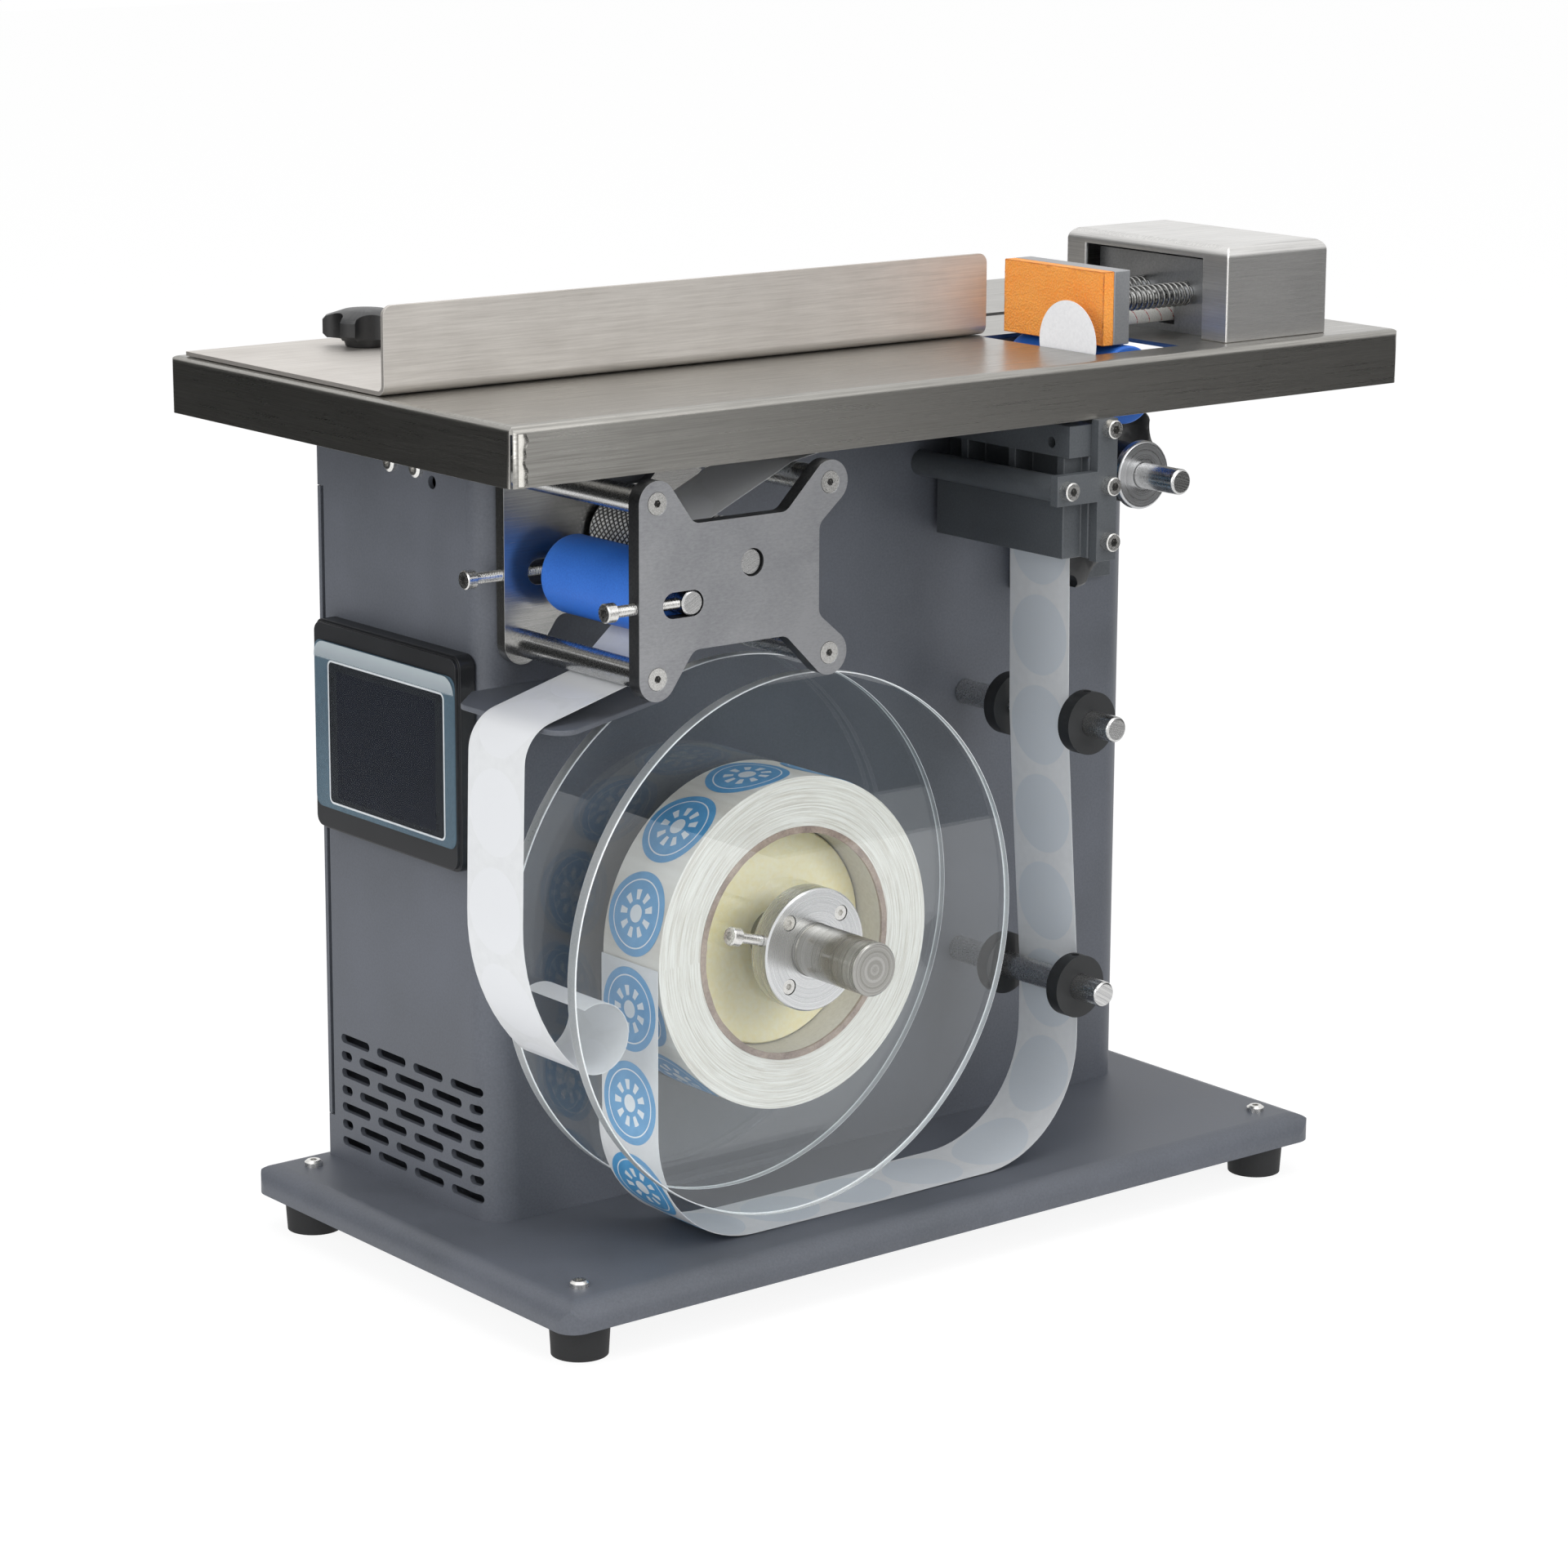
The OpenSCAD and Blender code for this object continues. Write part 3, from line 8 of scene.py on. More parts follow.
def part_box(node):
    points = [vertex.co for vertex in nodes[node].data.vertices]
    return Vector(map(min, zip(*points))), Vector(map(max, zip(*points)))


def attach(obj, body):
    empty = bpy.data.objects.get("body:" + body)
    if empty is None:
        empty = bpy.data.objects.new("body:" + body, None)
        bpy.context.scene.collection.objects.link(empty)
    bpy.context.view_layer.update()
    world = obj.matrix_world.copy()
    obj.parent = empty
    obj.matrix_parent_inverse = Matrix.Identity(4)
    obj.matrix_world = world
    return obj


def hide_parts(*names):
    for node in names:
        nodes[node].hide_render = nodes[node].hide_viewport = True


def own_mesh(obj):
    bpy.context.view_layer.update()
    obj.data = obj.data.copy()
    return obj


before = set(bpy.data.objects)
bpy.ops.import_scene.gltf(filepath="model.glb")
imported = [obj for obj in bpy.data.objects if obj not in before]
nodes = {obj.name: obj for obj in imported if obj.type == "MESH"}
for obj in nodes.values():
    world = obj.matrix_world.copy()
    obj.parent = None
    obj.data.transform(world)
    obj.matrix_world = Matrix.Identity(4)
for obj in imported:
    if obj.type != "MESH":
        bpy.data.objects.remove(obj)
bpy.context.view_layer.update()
scene = bpy.context.scene
scene.view_settings.view_transform = "Standard"
random.seed(7)
print("frame loaded:", len(nodes), "nodes")

# the viewing angle of the photograph; the shifts put the object where it stands in the square frame
view = {"place": (-1.0654, -1.3053, 0.5664), "right": (0.7742, -0.6329, 0.0069), "up": (0.1349, 0.1757, 0.9752),
        "ahead": (0.6184, 0.7540, -0.2214), "lens": 101.69, "sensor": 36, "shiftX": -0.0343, "shiftY": -0.0260,
        "near": 0.05, "far": 60}
camData = bpy.data.cameras.new("viewCamera")
camData.lens, camData.sensor_width = view["lens"], view["sensor"]
camData.shift_x, camData.shift_y = view["shiftX"], view["shiftY"]
camData.clip_start, camData.clip_end = view["near"], view["far"]
cam = bpy.data.objects.new("viewCamera", camData)
scene.collection.objects.link(cam)
axes = [Vector(view["right"]), Vector(view["up"]), -Vector(view["ahead"])]
cam.matrix_world = Matrix([[axes[c][r] for c in range(3)] + [view["place"][r]] for r in range(3)] + [[0, 0, 0, 1]])
scene.camera = cam

# lengths are in mm, and d counts forward from the column's front face
faceY = -12.5
reelAxis, driveAxis, flangeAxis = (-81.5, 134.5), (-115.1, 282.9), (87, 292)  # x and z of axes along Y
webPlan = {"midD": 50.0, "wide": 34.0, "thick": 0.16, "pitch": 35.6, "labelRadius": 15.7, "labelThick": 0.08}


def linear(hexValue):
    parts = [int(hexValue[i:i + 2], 16) / 255 for i in (1, 3, 5)]
    return tuple(v / 12.92 if v <= 0.04045 else ((v + 0.055) / 1.055) ** 2.4 for v in parts) + (1.0,)


def addNode(tree, kind, inputs=None, **settings):
    # an input is a value, a socket, or a node that feeds it from its first socket
    node = tree.nodes.new("ShaderNode" + kind)
    for key, value in settings.items():
        setattr(node, key, value)
    for key, value in (inputs or {}).items():
        source = value.outputs[0] if isinstance(value, bpy.types.Node) else value
        if isinstance(source, bpy.types.NodeSocket):
            tree.links.new(source, node.inputs[key])
        else:
            node.inputs[key].default_value = source
    return node


def startMaterial(name, **constants):
    made = bpy.data.materials.new(name)
    made.use_nodes = True
    tree = made.node_tree
    tree.nodes.clear()
    shader = addNode(tree, "BsdfPrincipled", {k.replace("_", " "): v for k, v in constants.items()})
    addNode(tree, "OutputMaterial", {"Surface": shader})
    return made, tree, shader


def dress(tree, shader, tone, darkHex, lightHex, **feeds):
    # a colour between two tones, and the nodes that feed other sockets of the shader
    colour = addNode(tree, "Mix", {"Factor": tone, 6: linear(darkHex), 7: linear(lightHex)},
                     data_type="RGBA")
    tree.links.new(colour.outputs[2], shader.inputs["Base Color"])
    for socket, node in feeds.items():
        tree.links.new(node.outputs[0], shader.inputs[socket])


def fromAxis(tree, x, z):
    # the place counted from an axis along Y, and the distance from that axis
    where = addNode(tree, "TexCoord").outputs["Object"]
    moved = addNode(tree, "Mapping", {"Vector": where, "Location": (-x / 1000, 0, -z / 1000)})
    parts = addNode(tree, "SeparateXYZ", {0: moved})
    flat = addNode(tree, "CombineXYZ", {0: parts.outputs[0], 1: parts.outputs[2]})
    return parts, addNode(tree, "VectorMath", {0: flat}, operation="LENGTH").outputs["Value"]


def fineSurface(name, darkHex, lightHex, grainMm, roughLow, roughHigh, bump, bumpMm, **constants):
    # a fine grain over soft clouds, in tone, roughness and height
    made, tree, shader = startMaterial(name, **constants)
    where = addNode(tree, "TexCoord").outputs["Object"]
    grain = addNode(tree, "TexNoise", {"Vector": where, "Scale": 1000 / grainMm, "Detail": 2.0, "Roughness": 0.6})
    cloud = addNode(tree, "TexNoise", {"Vector": where, "Scale": 22.0, "Detail": 3.0})
    mixed = addNode(tree, "Math", {0: grain, 1: cloud}, operation="ADD")
    tone = addNode(tree, "MapRange", {"Value": mixed, "From Min": 0.7, "From Max": 1.3})
    rough = addNode(tree, "MapRange", {"Value": mixed, "From Min": 0.6, "From Max": 1.4,
                                       "To Min": roughLow, "To Max": roughHigh})
    lift = addNode(tree, "Bump", {"Height": grain, "Strength": bump, "Distance": bumpMm / 1000})
    dress(tree, shader, tone, darkHex, lightHex, Roughness=rough, Normal=lift)
    return made


def brushedSheet(name, darkHex, lightHex, lineMm, runMm, roughLow, roughHigh, stain, sideways):
    # lines of the abrasive belt run along the sheet, and along Y on the faces that look left and right
    made, tree, shader = startMaterial(name, Metallic=1.0)
    where = addNode(tree, "TexCoord").outputs["Object"]
    across, along = 1000 / lineMm, 1000 / runMm
    lengthwise = addNode(tree, "Mapping", {"Vector": where, "Scale": (along, across, across)})
    crosswise = addNode(tree, "Mapping", {"Vector": where, "Scale": (across, along, across)})
    facing = addNode(tree, "SeparateXYZ", {0: addNode(tree, "NewGeometry").outputs["True Normal"]})
    turned = addNode(tree, "Math", {0: facing.outputs[0]}, operation="ABSOLUTE")
    side = addNode(tree, "Math", {0: turned, 1: 0.7 if sideways else 2.0}, operation="GREATER_THAN")
    ways = addNode(tree, "Mix", {"Factor": side, 4: lengthwise, 5: crosswise},
                   data_type="VECTOR")
    lines = addNode(tree, "TexNoise", {"Vector": ways.outputs[1], "Scale": 1.0, "Detail": 4.0, "Roughness": 0.7})
    cloud = addNode(tree, "TexNoise", {"Vector": where, "Scale": 30.0, "Detail": 4.0, "Distortion": 0.6})
    cloudy = addNode(tree, "Math", {0: cloud, 1: stain}, operation="MULTIPLY")
    both = addNode(tree, "Math", {0: lines, 1: cloudy}, operation="ADD")
    reach = {"Value": both, "From Min": 0.3, "From Max": 0.75 + stain * 0.5}
    tone = addNode(tree, "MapRange", reach)
    rough = addNode(tree, "MapRange", {**reach, "To Min": roughHigh, "To Max": roughLow})
    lift = addNode(tree, "Bump", {"Height": lines, "Strength": 0.12, "Distance": 0.0002})
    dress(tree, shader, tone, darkHex, lightHex, Roughness=rough, Normal=lift)
    return made


def turnedMetal(name, darkHex, lightHex, axis, ringMm, roughLow, roughHigh, bump=0.15):
    # fine rings round an axis along Y, as the lathe tool leaves them
    made, tree, shader = startMaterial(name, Metallic=1.0)
    parts, reach = fromAxis(tree, *axis)
    ring = addNode(tree, "CombineXYZ", {0: reach, 1: parts.outputs[1]})
    lines = addNode(tree, "TexNoise", {"Vector": ring, "Scale": 1000 / ringMm, "Detail": 3.0,
                                       "Roughness": 0.7}, noise_dimensions="2D")
    span = {"Value": lines, "From Min": 0.3, "From Max": 0.7}
    tone = addNode(tree, "MapRange", span)
    rough = addNode(tree, "MapRange", {**span, "To Min": roughHigh, "To Max": roughLow})
    lift = addNode(tree, "Bump", {"Height": lines, "Strength": bump, "Distance": 0.0001})
    dress(tree, shader, tone, darkHex, lightHex, Roughness=rough, Normal=lift)
    return made


# after the two tones: grain in mm, roughness from and to, strength and height in mm of the bump
# powder coat over sheet steel: a soft slate grey with a fine orange peel; grain drawn at 0.9 mm so that it shows
slateCoat = fineSurface("slatePowderCoat", "#555960", "#636770", 0.9, 0.42, 0.56, 0.07, 0.08)
headCoat = fineSurface("slatePowderCoatFine", "#484c50", "#585c60", 0.7, 0.36, 0.5, 0.1, 0.08)
# moulded parts in black: nearly black, a soft shine, a slight spark-eroded grain
blackMoulding = fineSurface("blackMouldedNylon", "#0f1011", "#1b1c1e", 0.6, 0.3, 0.42, 0.08, 0.05)
mattBlack = fineSurface("mattBlackAcetal", "#191a1b", "#26282a", 0.5, 0.45, 0.6, 0.08, 0.04)
panelPlastic = fineSurface("blackPanelAbs", "#18191b", "#24262a", 0.5, 0.32, 0.44, 0.1, 0.04)
footRubber = fineSurface("blackFootRubber", "#141415", "#232426", 1.2, 0.6, 0.78, 0.2, 0.1)
beltRubber = fineSurface("blackBeltRubber", "#101011", "#1c1c1d", 0.8, 0.6, 0.75, 0.15, 0.08)
# polyurethane cover of the rollers: even strong blue, dull, with a ground surface
blueRubber = fineSurface("bluePolyurethane", "#2969cc", "#397de0", 0.7, 0.45, 0.6, 0.1, 0.05,
                         Specular_IOR_Level=0.45)
# nylon of the hub: pale yellow, a little light goes into it
hubNylon = fineSurface("paleYellowNylon", "#fbeeb8", "#fff8d8", 2.0, 0.4, 0.55, 0.05, 0.05, Subsurface_Weight=0.1,
                       Subsurface_Radius=(0.004, 0.003, 0.0015), Subsurface_Scale=0.5)
motorEnamel = fineSurface("blackMotorEnamel", "#141517", "#202226", 0.9, 0.3, 0.45, 0.1, 0.06)
redPlastic = fineSurface("redRockerNylon", "#8f1411", "#ab211c", 0.8, 0.3, 0.4, 0.08, 0.04)
# folded stainless sheet: belt-ground lines, drawn at 0.7 mm so that they show
tableSteel = brushedSheet("brushedStainlessTable", "#7c7a76", "#b8b6b1", 0.7, 45, 0.24, 0.4, 0.25, True)
fenceSteel = brushedSheet("brushedStainlessFence", "#ada8a3", "#d1cdc8", 0.8, 26, 0.54, 0.68, 0.6, True)
boxSteel = brushedSheet("brushedStainlessBox", "#b2b1af", "#e4e3e1", 0.6, 30, 0.33, 0.47, 0.3, True)
# tumbled plate: satin grey with a short cross grain; the inner plate is smoother and mirrors the roller
plateSteel = brushedSheet("tumbledStainlessPlate", "#74757a", "#b0b1b4", 0.8, 2.2, 0.34, 0.5, 1.1, False)
satinSteel = brushedSheet("satinStainlessPlate", "#a9a8a5", "#cfcecb", 0.7, 30, 0.2, 0.3, 0.3, False)
# edges broken with a file: a thin bright line, painted far brighter than the steel as a highlight
brightArris = fineSurface("filedEdgePaintedGlint", "#dcdcda", "#f2f2f0", 0.8, 0.3, 0.42, 0.1, 0.04, Metallic=1.0)
plateEdge = fineSurface("sawnPlateEdge", "#4a4b4d", "#626365", 0.8, 0.36, 0.5, 0.1, 0.05, Metallic=1.0)
# the ground seam at the table corner, its bright tone partly a painted highlight
cornerSeamGlint = fineSurface("groundSeamPaintedGlint", "#d9d6cf", "#f1efe9", 0.8, 0.2, 0.34, 0.3, 0.1, Metallic=1.0)
# ground and turned parts: bright, with rings round their axis
springSteel = fineSurface("springSteelWire", "#6d6d6c", "#8d8d8b", 0.8, 0.16, 0.28, 0.05, 0.03, Metallic=1.0)
groundSteel = turnedMetal("groundSteelShaft", "#b3b3b3", "#d8d8d7", (0, 0), 0.6, 0.18, 0.32)
screwSteel = fineSurface("nickelPlatedScrew", "#cccbc8", "#ecebe8", 0.8, 0.2, 0.34, 0.05, 0.03, Metallic=1.0)
# near-black plugs that stand in for the shade in the screws' hexagon sockets
socketShade = fineSurface("paintedSocketShade", "#08080a", "#141416", 0.6, 0.3, 0.45, 0.1, 0.05)
collarAlu = turnedMetal("turnedAluminiumCollar", "#c9cbcc", "#dddedf", reelAxis, 0.7, 0.22, 0.32, 0.08)
shaftSteel = turnedMetal("turnedSteelReelShaft", "#96958f", "#b2b1ae", reelAxis, 0.8, 0.18, 0.3, 0.08)
flangeAlu = turnedMetal("turnedAluminiumFlange", "#b2b3b5", "#d6d7d9", flangeAxis, 0.8, 0.22, 0.36, 0.12)
milledAlu = fineSurface("milledAluminium", "#9fa1a4", "#bfc1c3", 0.8, 0.3, 0.44, 0.1, 0.05, Metallic=1.0)
padAlu = fineSurface("greyPadAluminium", "#909295", "#a2a4a7", 0.8, 0.36, 0.48, 0.1, 0.05, Metallic=0.6)
# sawn and broken edges of the acrylic: white and dull, they draw the rims of the discs
rimWhite = fineSurface("frostedAcrylicEdge", "#dde5e8", "#fbfdfe", 0.8, 0.4, 0.55, 0.1, 0.04)
rimHaze = fineSurface("sawnAcrylicRim", "#dfe7ea", "#f8fbfc", 0.8, 0.26, 0.4, 0.05, 0.03, IOR=1.49,
                      Transmission_Weight=0.6)
# the label that stands at the peel edge shows its plain white back; the core is lined with pale paper
labelBack = fineSurface("plainLabelBack", "#eeeff3", "#fbfcff", 1.2, 0.45, 0.55, 0.04, 0.03)
coreLining = fineSurface("paleCoreLining", "#cbc7be", "#dcd9d2", 1.5, 0.7, 0.85, 0.1, 0.06)
# panel foil: screen-printed polyester, grey-blue border, pale line, dark window
foilBlue = fineSurface("greyBluePanelFoil", "#435867", "#506a79", 1.5, 0.28, 0.38, 0.03, 0.02)
foilLine = fineSurface("paleFoilLine", "#c9ced2", "#dfe3e6", 1.5, 0.35, 0.45, 0.03, 0.02)
windowBlack = fineSurface("blackWindowPrint", "#14171d", "#1b1f26", 1.5, 0.26, 0.34, 0.02, 0.02,
                          Specular_IOR_Level=0.15)
# braided glass-fibre sleeve: off-white strands, two of them with a red tracer
braid = {}
for kind, darkHex, lightHex in (("White", "#cfcdc6", "#efeee9"), ("Red", "#9c1f2c", "#c93a44"),
                                ("Shade", "#8d8b85", "#a9a7a0")):
    braid[kind] = fineSurface("braidedSleeve" + kind, darkHex, lightHex, 0.5, 0.6, 0.75, 0.3, 0.08)
print("plain finishes made")

# cast acrylic: clear with a trace of grey and a thin shine, a few hazy finger marks
acrylic, tree, shader = startMaterial("clearCastAcrylic", Base_Color=linear("#f4f7f8"), IOR=1.49,
                                      Transmission_Weight=1.0, Specular_IOR_Level=0.22)
where = addNode(tree, "TexCoord").outputs["Object"]
smear = addNode(tree, "TexNoise", {"Vector": where, "Scale": 16.0, "Detail": 2.0})
faint = addNode(tree, "MapRange", {"Value": smear, "From Min": 0.62, "From Max": 0.8, "To Max": 0.03})
tree.links.new(faint.outputs[0], shader.inputs["Roughness"])

# brown core board: wound in plies, its cut edge furry
coreBoard, tree, shader = startMaterial("woundCoreBoard", Roughness=0.85)
where = addNode(tree, "TexCoord").outputs["Object"]
fibre = addNode(tree, "TexNoise", {"Vector": where, "Scale": 900.0, "Detail": 4.0, "Roughness": 0.8})
blotch = addNode(tree, "TexNoise", {"Vector": where, "Scale": 120.0, "Detail": 2.0})
board = addNode(tree, "Math", {0: fibre, 1: blotch}, operation="ADD")
tone = addNode(tree, "MapRange", {"Value": board, "From Min": 0.7, "From Max": 1.3})
lift = addNode(tree, "Bump", {"Height": fibre, "Strength": 0.5, "Distance": 0.0004})
dress(tree, shader, tone, "#82716a", "#b7a597", Normal=lift)

# edge of wound label stock: warm white, in fine uneven rings of one turn after the other, drawn at 0.6 mm
rollEdge, tree, shader = startMaterial("woundLabelStockEdge", Roughness=0.75)
parts, reach = fromAxis(tree, *reelAxis)
around = addNode(tree, "Math", {0: parts.outputs[2], 1: parts.outputs[0]}, operation="ARCTAN2")
outward = addNode(tree, "Math", {0: reach, 1: 1700.0}, operation="MULTIPLY")
onward = addNode(tree, "Math", {0: around, 1: 2.2}, operation="MULTIPLY")
turnAt = addNode(tree, "CombineXYZ", {0: outward, 1: onward})
turns = addNode(tree, "TexNoise", {"Vector": turnAt, "Scale": 1.0, "Detail": 3.0, "Roughness": 0.7},
                noise_dimensions="2D")
tone = addNode(tree, "MapRange", {"Value": turns, "From Min": 0.28, "From Max": 0.6})
lift = addNode(tree, "Bump", {"Height": turns, "Strength": 0.5, "Distance": 0.0004})
dress(tree, shader, tone, "#cec9bf", "#ecebe5", Normal=lift)

# glassine liner: a smooth white paper; the labels behind it show as faint cool discs with a pressed outline
linerPaper = {}
for kind, discHex in (("WithLabels", "#d3d9df"), ("Bare", "#e3e5e8")):
    made, tree, shader = startMaterial("glassineLiner" + kind, Roughness=0.42)
    spot = addNode(tree, "SeparateXYZ", {0: addNode(tree, "UVMap", uv_map="stripMap")})
    cell = addNode(tree, "Math", {0: spot.outputs[0]}, operation="FRACT")
    offMid = []
    for share, size in ((cell, webPlan["pitch"]), (spot.outputs[1], webPlan["wide"])):
        off = addNode(tree, "Math", {0: share, 1: 0.5}, operation="SUBTRACT")
        offMid.append(addNode(tree, "Math", {0: off, 1: size}, operation="MULTIPLY"))
    both = addNode(tree, "CombineXYZ", {0: offMid[0], 1: offMid[1]})
    fromMid = addNode(tree, "VectorMath", {0: both}, operation="LENGTH").outputs["Value"]
    inDisc = addNode(tree, "MapRange", {"Value": fromMid, "From Min": webPlan["labelRadius"] - 0.25,
                                        "From Max": webPlan["labelRadius"] + 0.25, "To Min": 1.0, "To Max": 0.0})
    past = addNode(tree, "Math", {0: fromMid, 1: webPlan["labelRadius"]}, operation="SUBTRACT")
    away = addNode(tree, "Math", {0: past}, operation="ABSOLUTE")
    dieCut = addNode(tree, "MapRange", {"Value": away, "From Min": 0.15, "From Max": 0.5, "To Min": 1.0,
                                        "To Max": 0.0})
    fibre = addNode(tree, "TexNoise", {"Vector": addNode(tree, "TexCoord").outputs["Object"], "Scale": 260.0,
                                       "Detail": 4.0})
    pulp = addNode(tree, "Mix", {"Factor": fibre, 6: linear("#d9dbdd"), 7: linear("#e6e8ea")},
                   data_type="RGBA")
    colour = addNode(tree, "Mix", {"Factor": inDisc, 6: pulp.outputs[2], 7: linear(discHex)},
                     data_type="RGBA")
    press = addNode(tree, "Bump", {"Height": dieCut, "Strength": 0.25, "Distance": 0.00008}, invert=True)
    tree.links.new(colour.outputs[2], shader.inputs["Base Color"])
    tree.links.new(press.outputs[0], shader.inputs["Normal"])
    linerPaper[kind] = made

# printed label film: sky blue with a white ring and rays, a generic pattern; a smooth satin varnish
labelPrint, tree, shader = startMaterial("printedLabelFilm", Roughness=0.34)
flatMap = addNode(tree, "UVMap", uv_map="UVMap")
spot = addNode(tree, "VectorMath", {0: flatMap, 1: (0.5, 0.5, 0)}, operation="SUBTRACT")
parts = addNode(tree, "SeparateXYZ", {0: spot})
reach = addNode(tree, "VectorMath", {0: spot}, operation="LENGTH").outputs["Value"]
angle = addNode(tree, "Math", {0: parts.outputs[1], 1: parts.outputs[0]}, operation="ARCTAN2")
nineFold = addNode(tree, "Math", {0: angle, 1: 9.0}, operation="MULTIPLY")
rays = addNode(tree, "Math", {0: nineFold}, operation="SINE")
onRay = addNode(tree, "Math", {0: rays, 1: 0.15}, operation="GREATER_THAN")
rings = []
for low, high in ((0.0, 0.105), (0.165, 0.285), (0.395, 0.412)):
    over = addNode(tree, "Math", {0: reach, 1: low}, operation="GREATER_THAN")
    under = addNode(tree, "Math", {0: reach, 1: high}, operation="LESS_THAN")
    rings.append(addNode(tree, "Math", {0: over, 1: under}, operation="MULTIPLY"))
beams = addNode(tree, "Math", {0: rings[1], 1: onRay}, operation="MULTIPLY")
inner = addNode(tree, "Math", {0: rings[0], 1: beams}, operation="MAXIMUM")
white = addNode(tree, "Math", {0: inner, 1: rings[2]}, operation="MAXIMUM")
ink = addNode(tree, "TexNoise", {"Vector": spot, "Scale": 5.0, "Detail": 2.0})
blue = addNode(tree, "Mix", {"Factor": ink, 6: linear("#3c8cc4"), 7: linear("#6cb2e2")},
               data_type="RGBA")
colour = addNode(tree, "Mix", {"Factor": white, 6: blue.outputs[2], 7: linear("#e8eff4")},
                 data_type="RGBA")
tree.links.new(colour.outputs[2], shader.inputs["Base Color"])

# open-cell foam: strong orange, dull, full of small pores of about 0.8 mm; painted shade makes the orange deeper and
# darker where the pores sink in
foamSkin, tree, shader = startMaterial("orangeOpenCellFoam", Roughness=0.95, Subsurface_Weight=0.15,
                                       Subsurface_Radius=(0.003, 0.0015, 0.0006), Subsurface_Scale=0.4,
                                       Sheen_Weight=0.2)
where = addNode(tree, "TexCoord").outputs["Object"]
pores = addNode(tree, "TexVoronoi", {"Vector": where, "Scale": 1100.0, "Randomness": 1.0})
cloud = addNode(tree, "TexNoise", {"Vector": where, "Scale": 90.0, "Detail": 3.0})
deep = addNode(tree, "MapRange", {"Value": pores, "From Min": 0.0, "From Max": 0.7})
tone = addNode(tree, "Math", {0: deep, 1: cloud}, operation="MULTIPLY")
lift = addNode(tree, "Bump", {"Height": deep, "Strength": 0.6, "Distance": 0.0005}, invert=True)
dress(tree, shader, tone, "#ffac4e", "#ff9330", Normal=lift)

# display window: blue-black and even, with a few specks of dust
screenGlass, tree, shader = startMaterial("darkDisplayWindow", Roughness=0.3, Specular_IOR_Level=0.08)
where = addNode(tree, "TexCoord").outputs["Object"]
dust = addNode(tree, "TexNoise", {"Vector": where, "Scale": 1500.0, "Detail": 1.0})
speck = addNode(tree, "MapRange", {"Value": dust, "From Min": 0.74, "From Max": 0.85, "To Max": 0.12})
dress(tree, shader, speck, "#151822", "#4a5160")

# protective film: clear and glossy; along its upper edge, which begins at 226.4 mm, a painted glare makes it paler
filmClear, tree, shader = startMaterial("clearProtectiveFilm", Base_Color=linear("#c9d3d8"), IOR=1.5)
where = addNode(tree, "TexCoord").outputs["Object"]
ripple = addNode(tree, "TexNoise", {"Vector": where, "Scale": 45.0, "Detail": 2.0})
rough = addNode(tree, "MapRange", {"Value": ripple, "From Min": 0.3, "From Max": 0.7, "To Min": 0.05,
                                   "To Max": 0.14})
height = addNode(tree, "SeparateXYZ", {0: where}).outputs[2]
# alpha rising towards the top edge paints the glare
glareEdge = addNode(tree, "MapRange", {"Value": height, "From Min": 0.2264, "From Max": 0.2272})
glareFade = addNode(tree, "MapRange", {"Value": height, "From Min": 0.2264, "From Max": 0.2335, "To Min": 0.34,
                                  "To Max": 0.66})
paintedGlare = addNode(tree, "Math", {0: glareEdge, 1: glareFade, 2: 0.01}, operation="MULTIPLY_ADD")
tree.links.new(rough.outputs[0], shader.inputs["Roughness"])
tree.links.new(paintedGlare.outputs[0], shader.inputs["Alpha"])

# knurled steel: painted shade, black at the feet of the pyramids, and a painted highlight, bright at their tips
knurlPaintedShadeAndGlint, tree, shader = startMaterial("knurlPaintedShadeAndGlint", Metallic=0.3, Roughness=0.3)
parts, reach = fromAxis(tree, *driveAxis)
feetShadeTipGlint = addNode(tree, "MapRange", {"Value": reach, "From Min": 0.01346, "From Max": 0.01362})
dress(tree, shader, feetShadeTipGlint, "#111112", "#f4f4f2")
print("special finishes made")

# nodes that show their own shape; the others are replaced further down
shownNodes = ((slateCoat, "base_plate column_housing rear_cover"), (headCoat, "head_rods"),
              (footRubber, "rubber_feet"), (screenGlass, "hmi_screen"), (blackMoulding, "power_inlet"),
              (screwSteel, "housing_screws head_screws plate_screws tension_screws collar_screws"),
              (redPlastic, "rocker"), (mattBlack, "guide_roller"), (motorEnamel, "drive_motor"),
              (milledAlu, "reel_bearing motor_pulley drive_pulley roller_bracket"), (beltRubber, "drive_belt"),
              (groundSteel, "press_rods spacer_rods table_roller_axle pinch_axle drive_roller"),
              (hubNylon, "core_hub"))
for material, names in shownNodes:
    for name in names.split():
        for place in nodes[name].material_slots:
            place.material = material
print("nodes dressed")


def frontOf(d):
    return (faceY - d) / 1000


def at(x, d, z):
    return x / 1000, frontOf(d), z / 1000


def begin():
    if bpy.context.mode != "OBJECT":
        bpy.ops.object.mode_set(mode="OBJECT")
    bpy.ops.object.select_all(action="DESELECT")


def takeUp(piece):
    begin()
    piece.select_set(True)
    bpy.context.view_layer.objects.active = piece


def openMesh():
    bpy.ops.object.mode_set(mode="EDIT")
    bpy.ops.mesh.select_all(action="SELECT")


def closeMesh():
    bpy.ops.object.mode_set(mode="OBJECT")


def joinAll(pieces):
    begin()
    for piece in pieces:
        piece.select_set(True)
    bpy.context.view_layer.objects.active = pieces[0]
    bpy.ops.object.join()
    return bpy.context.object


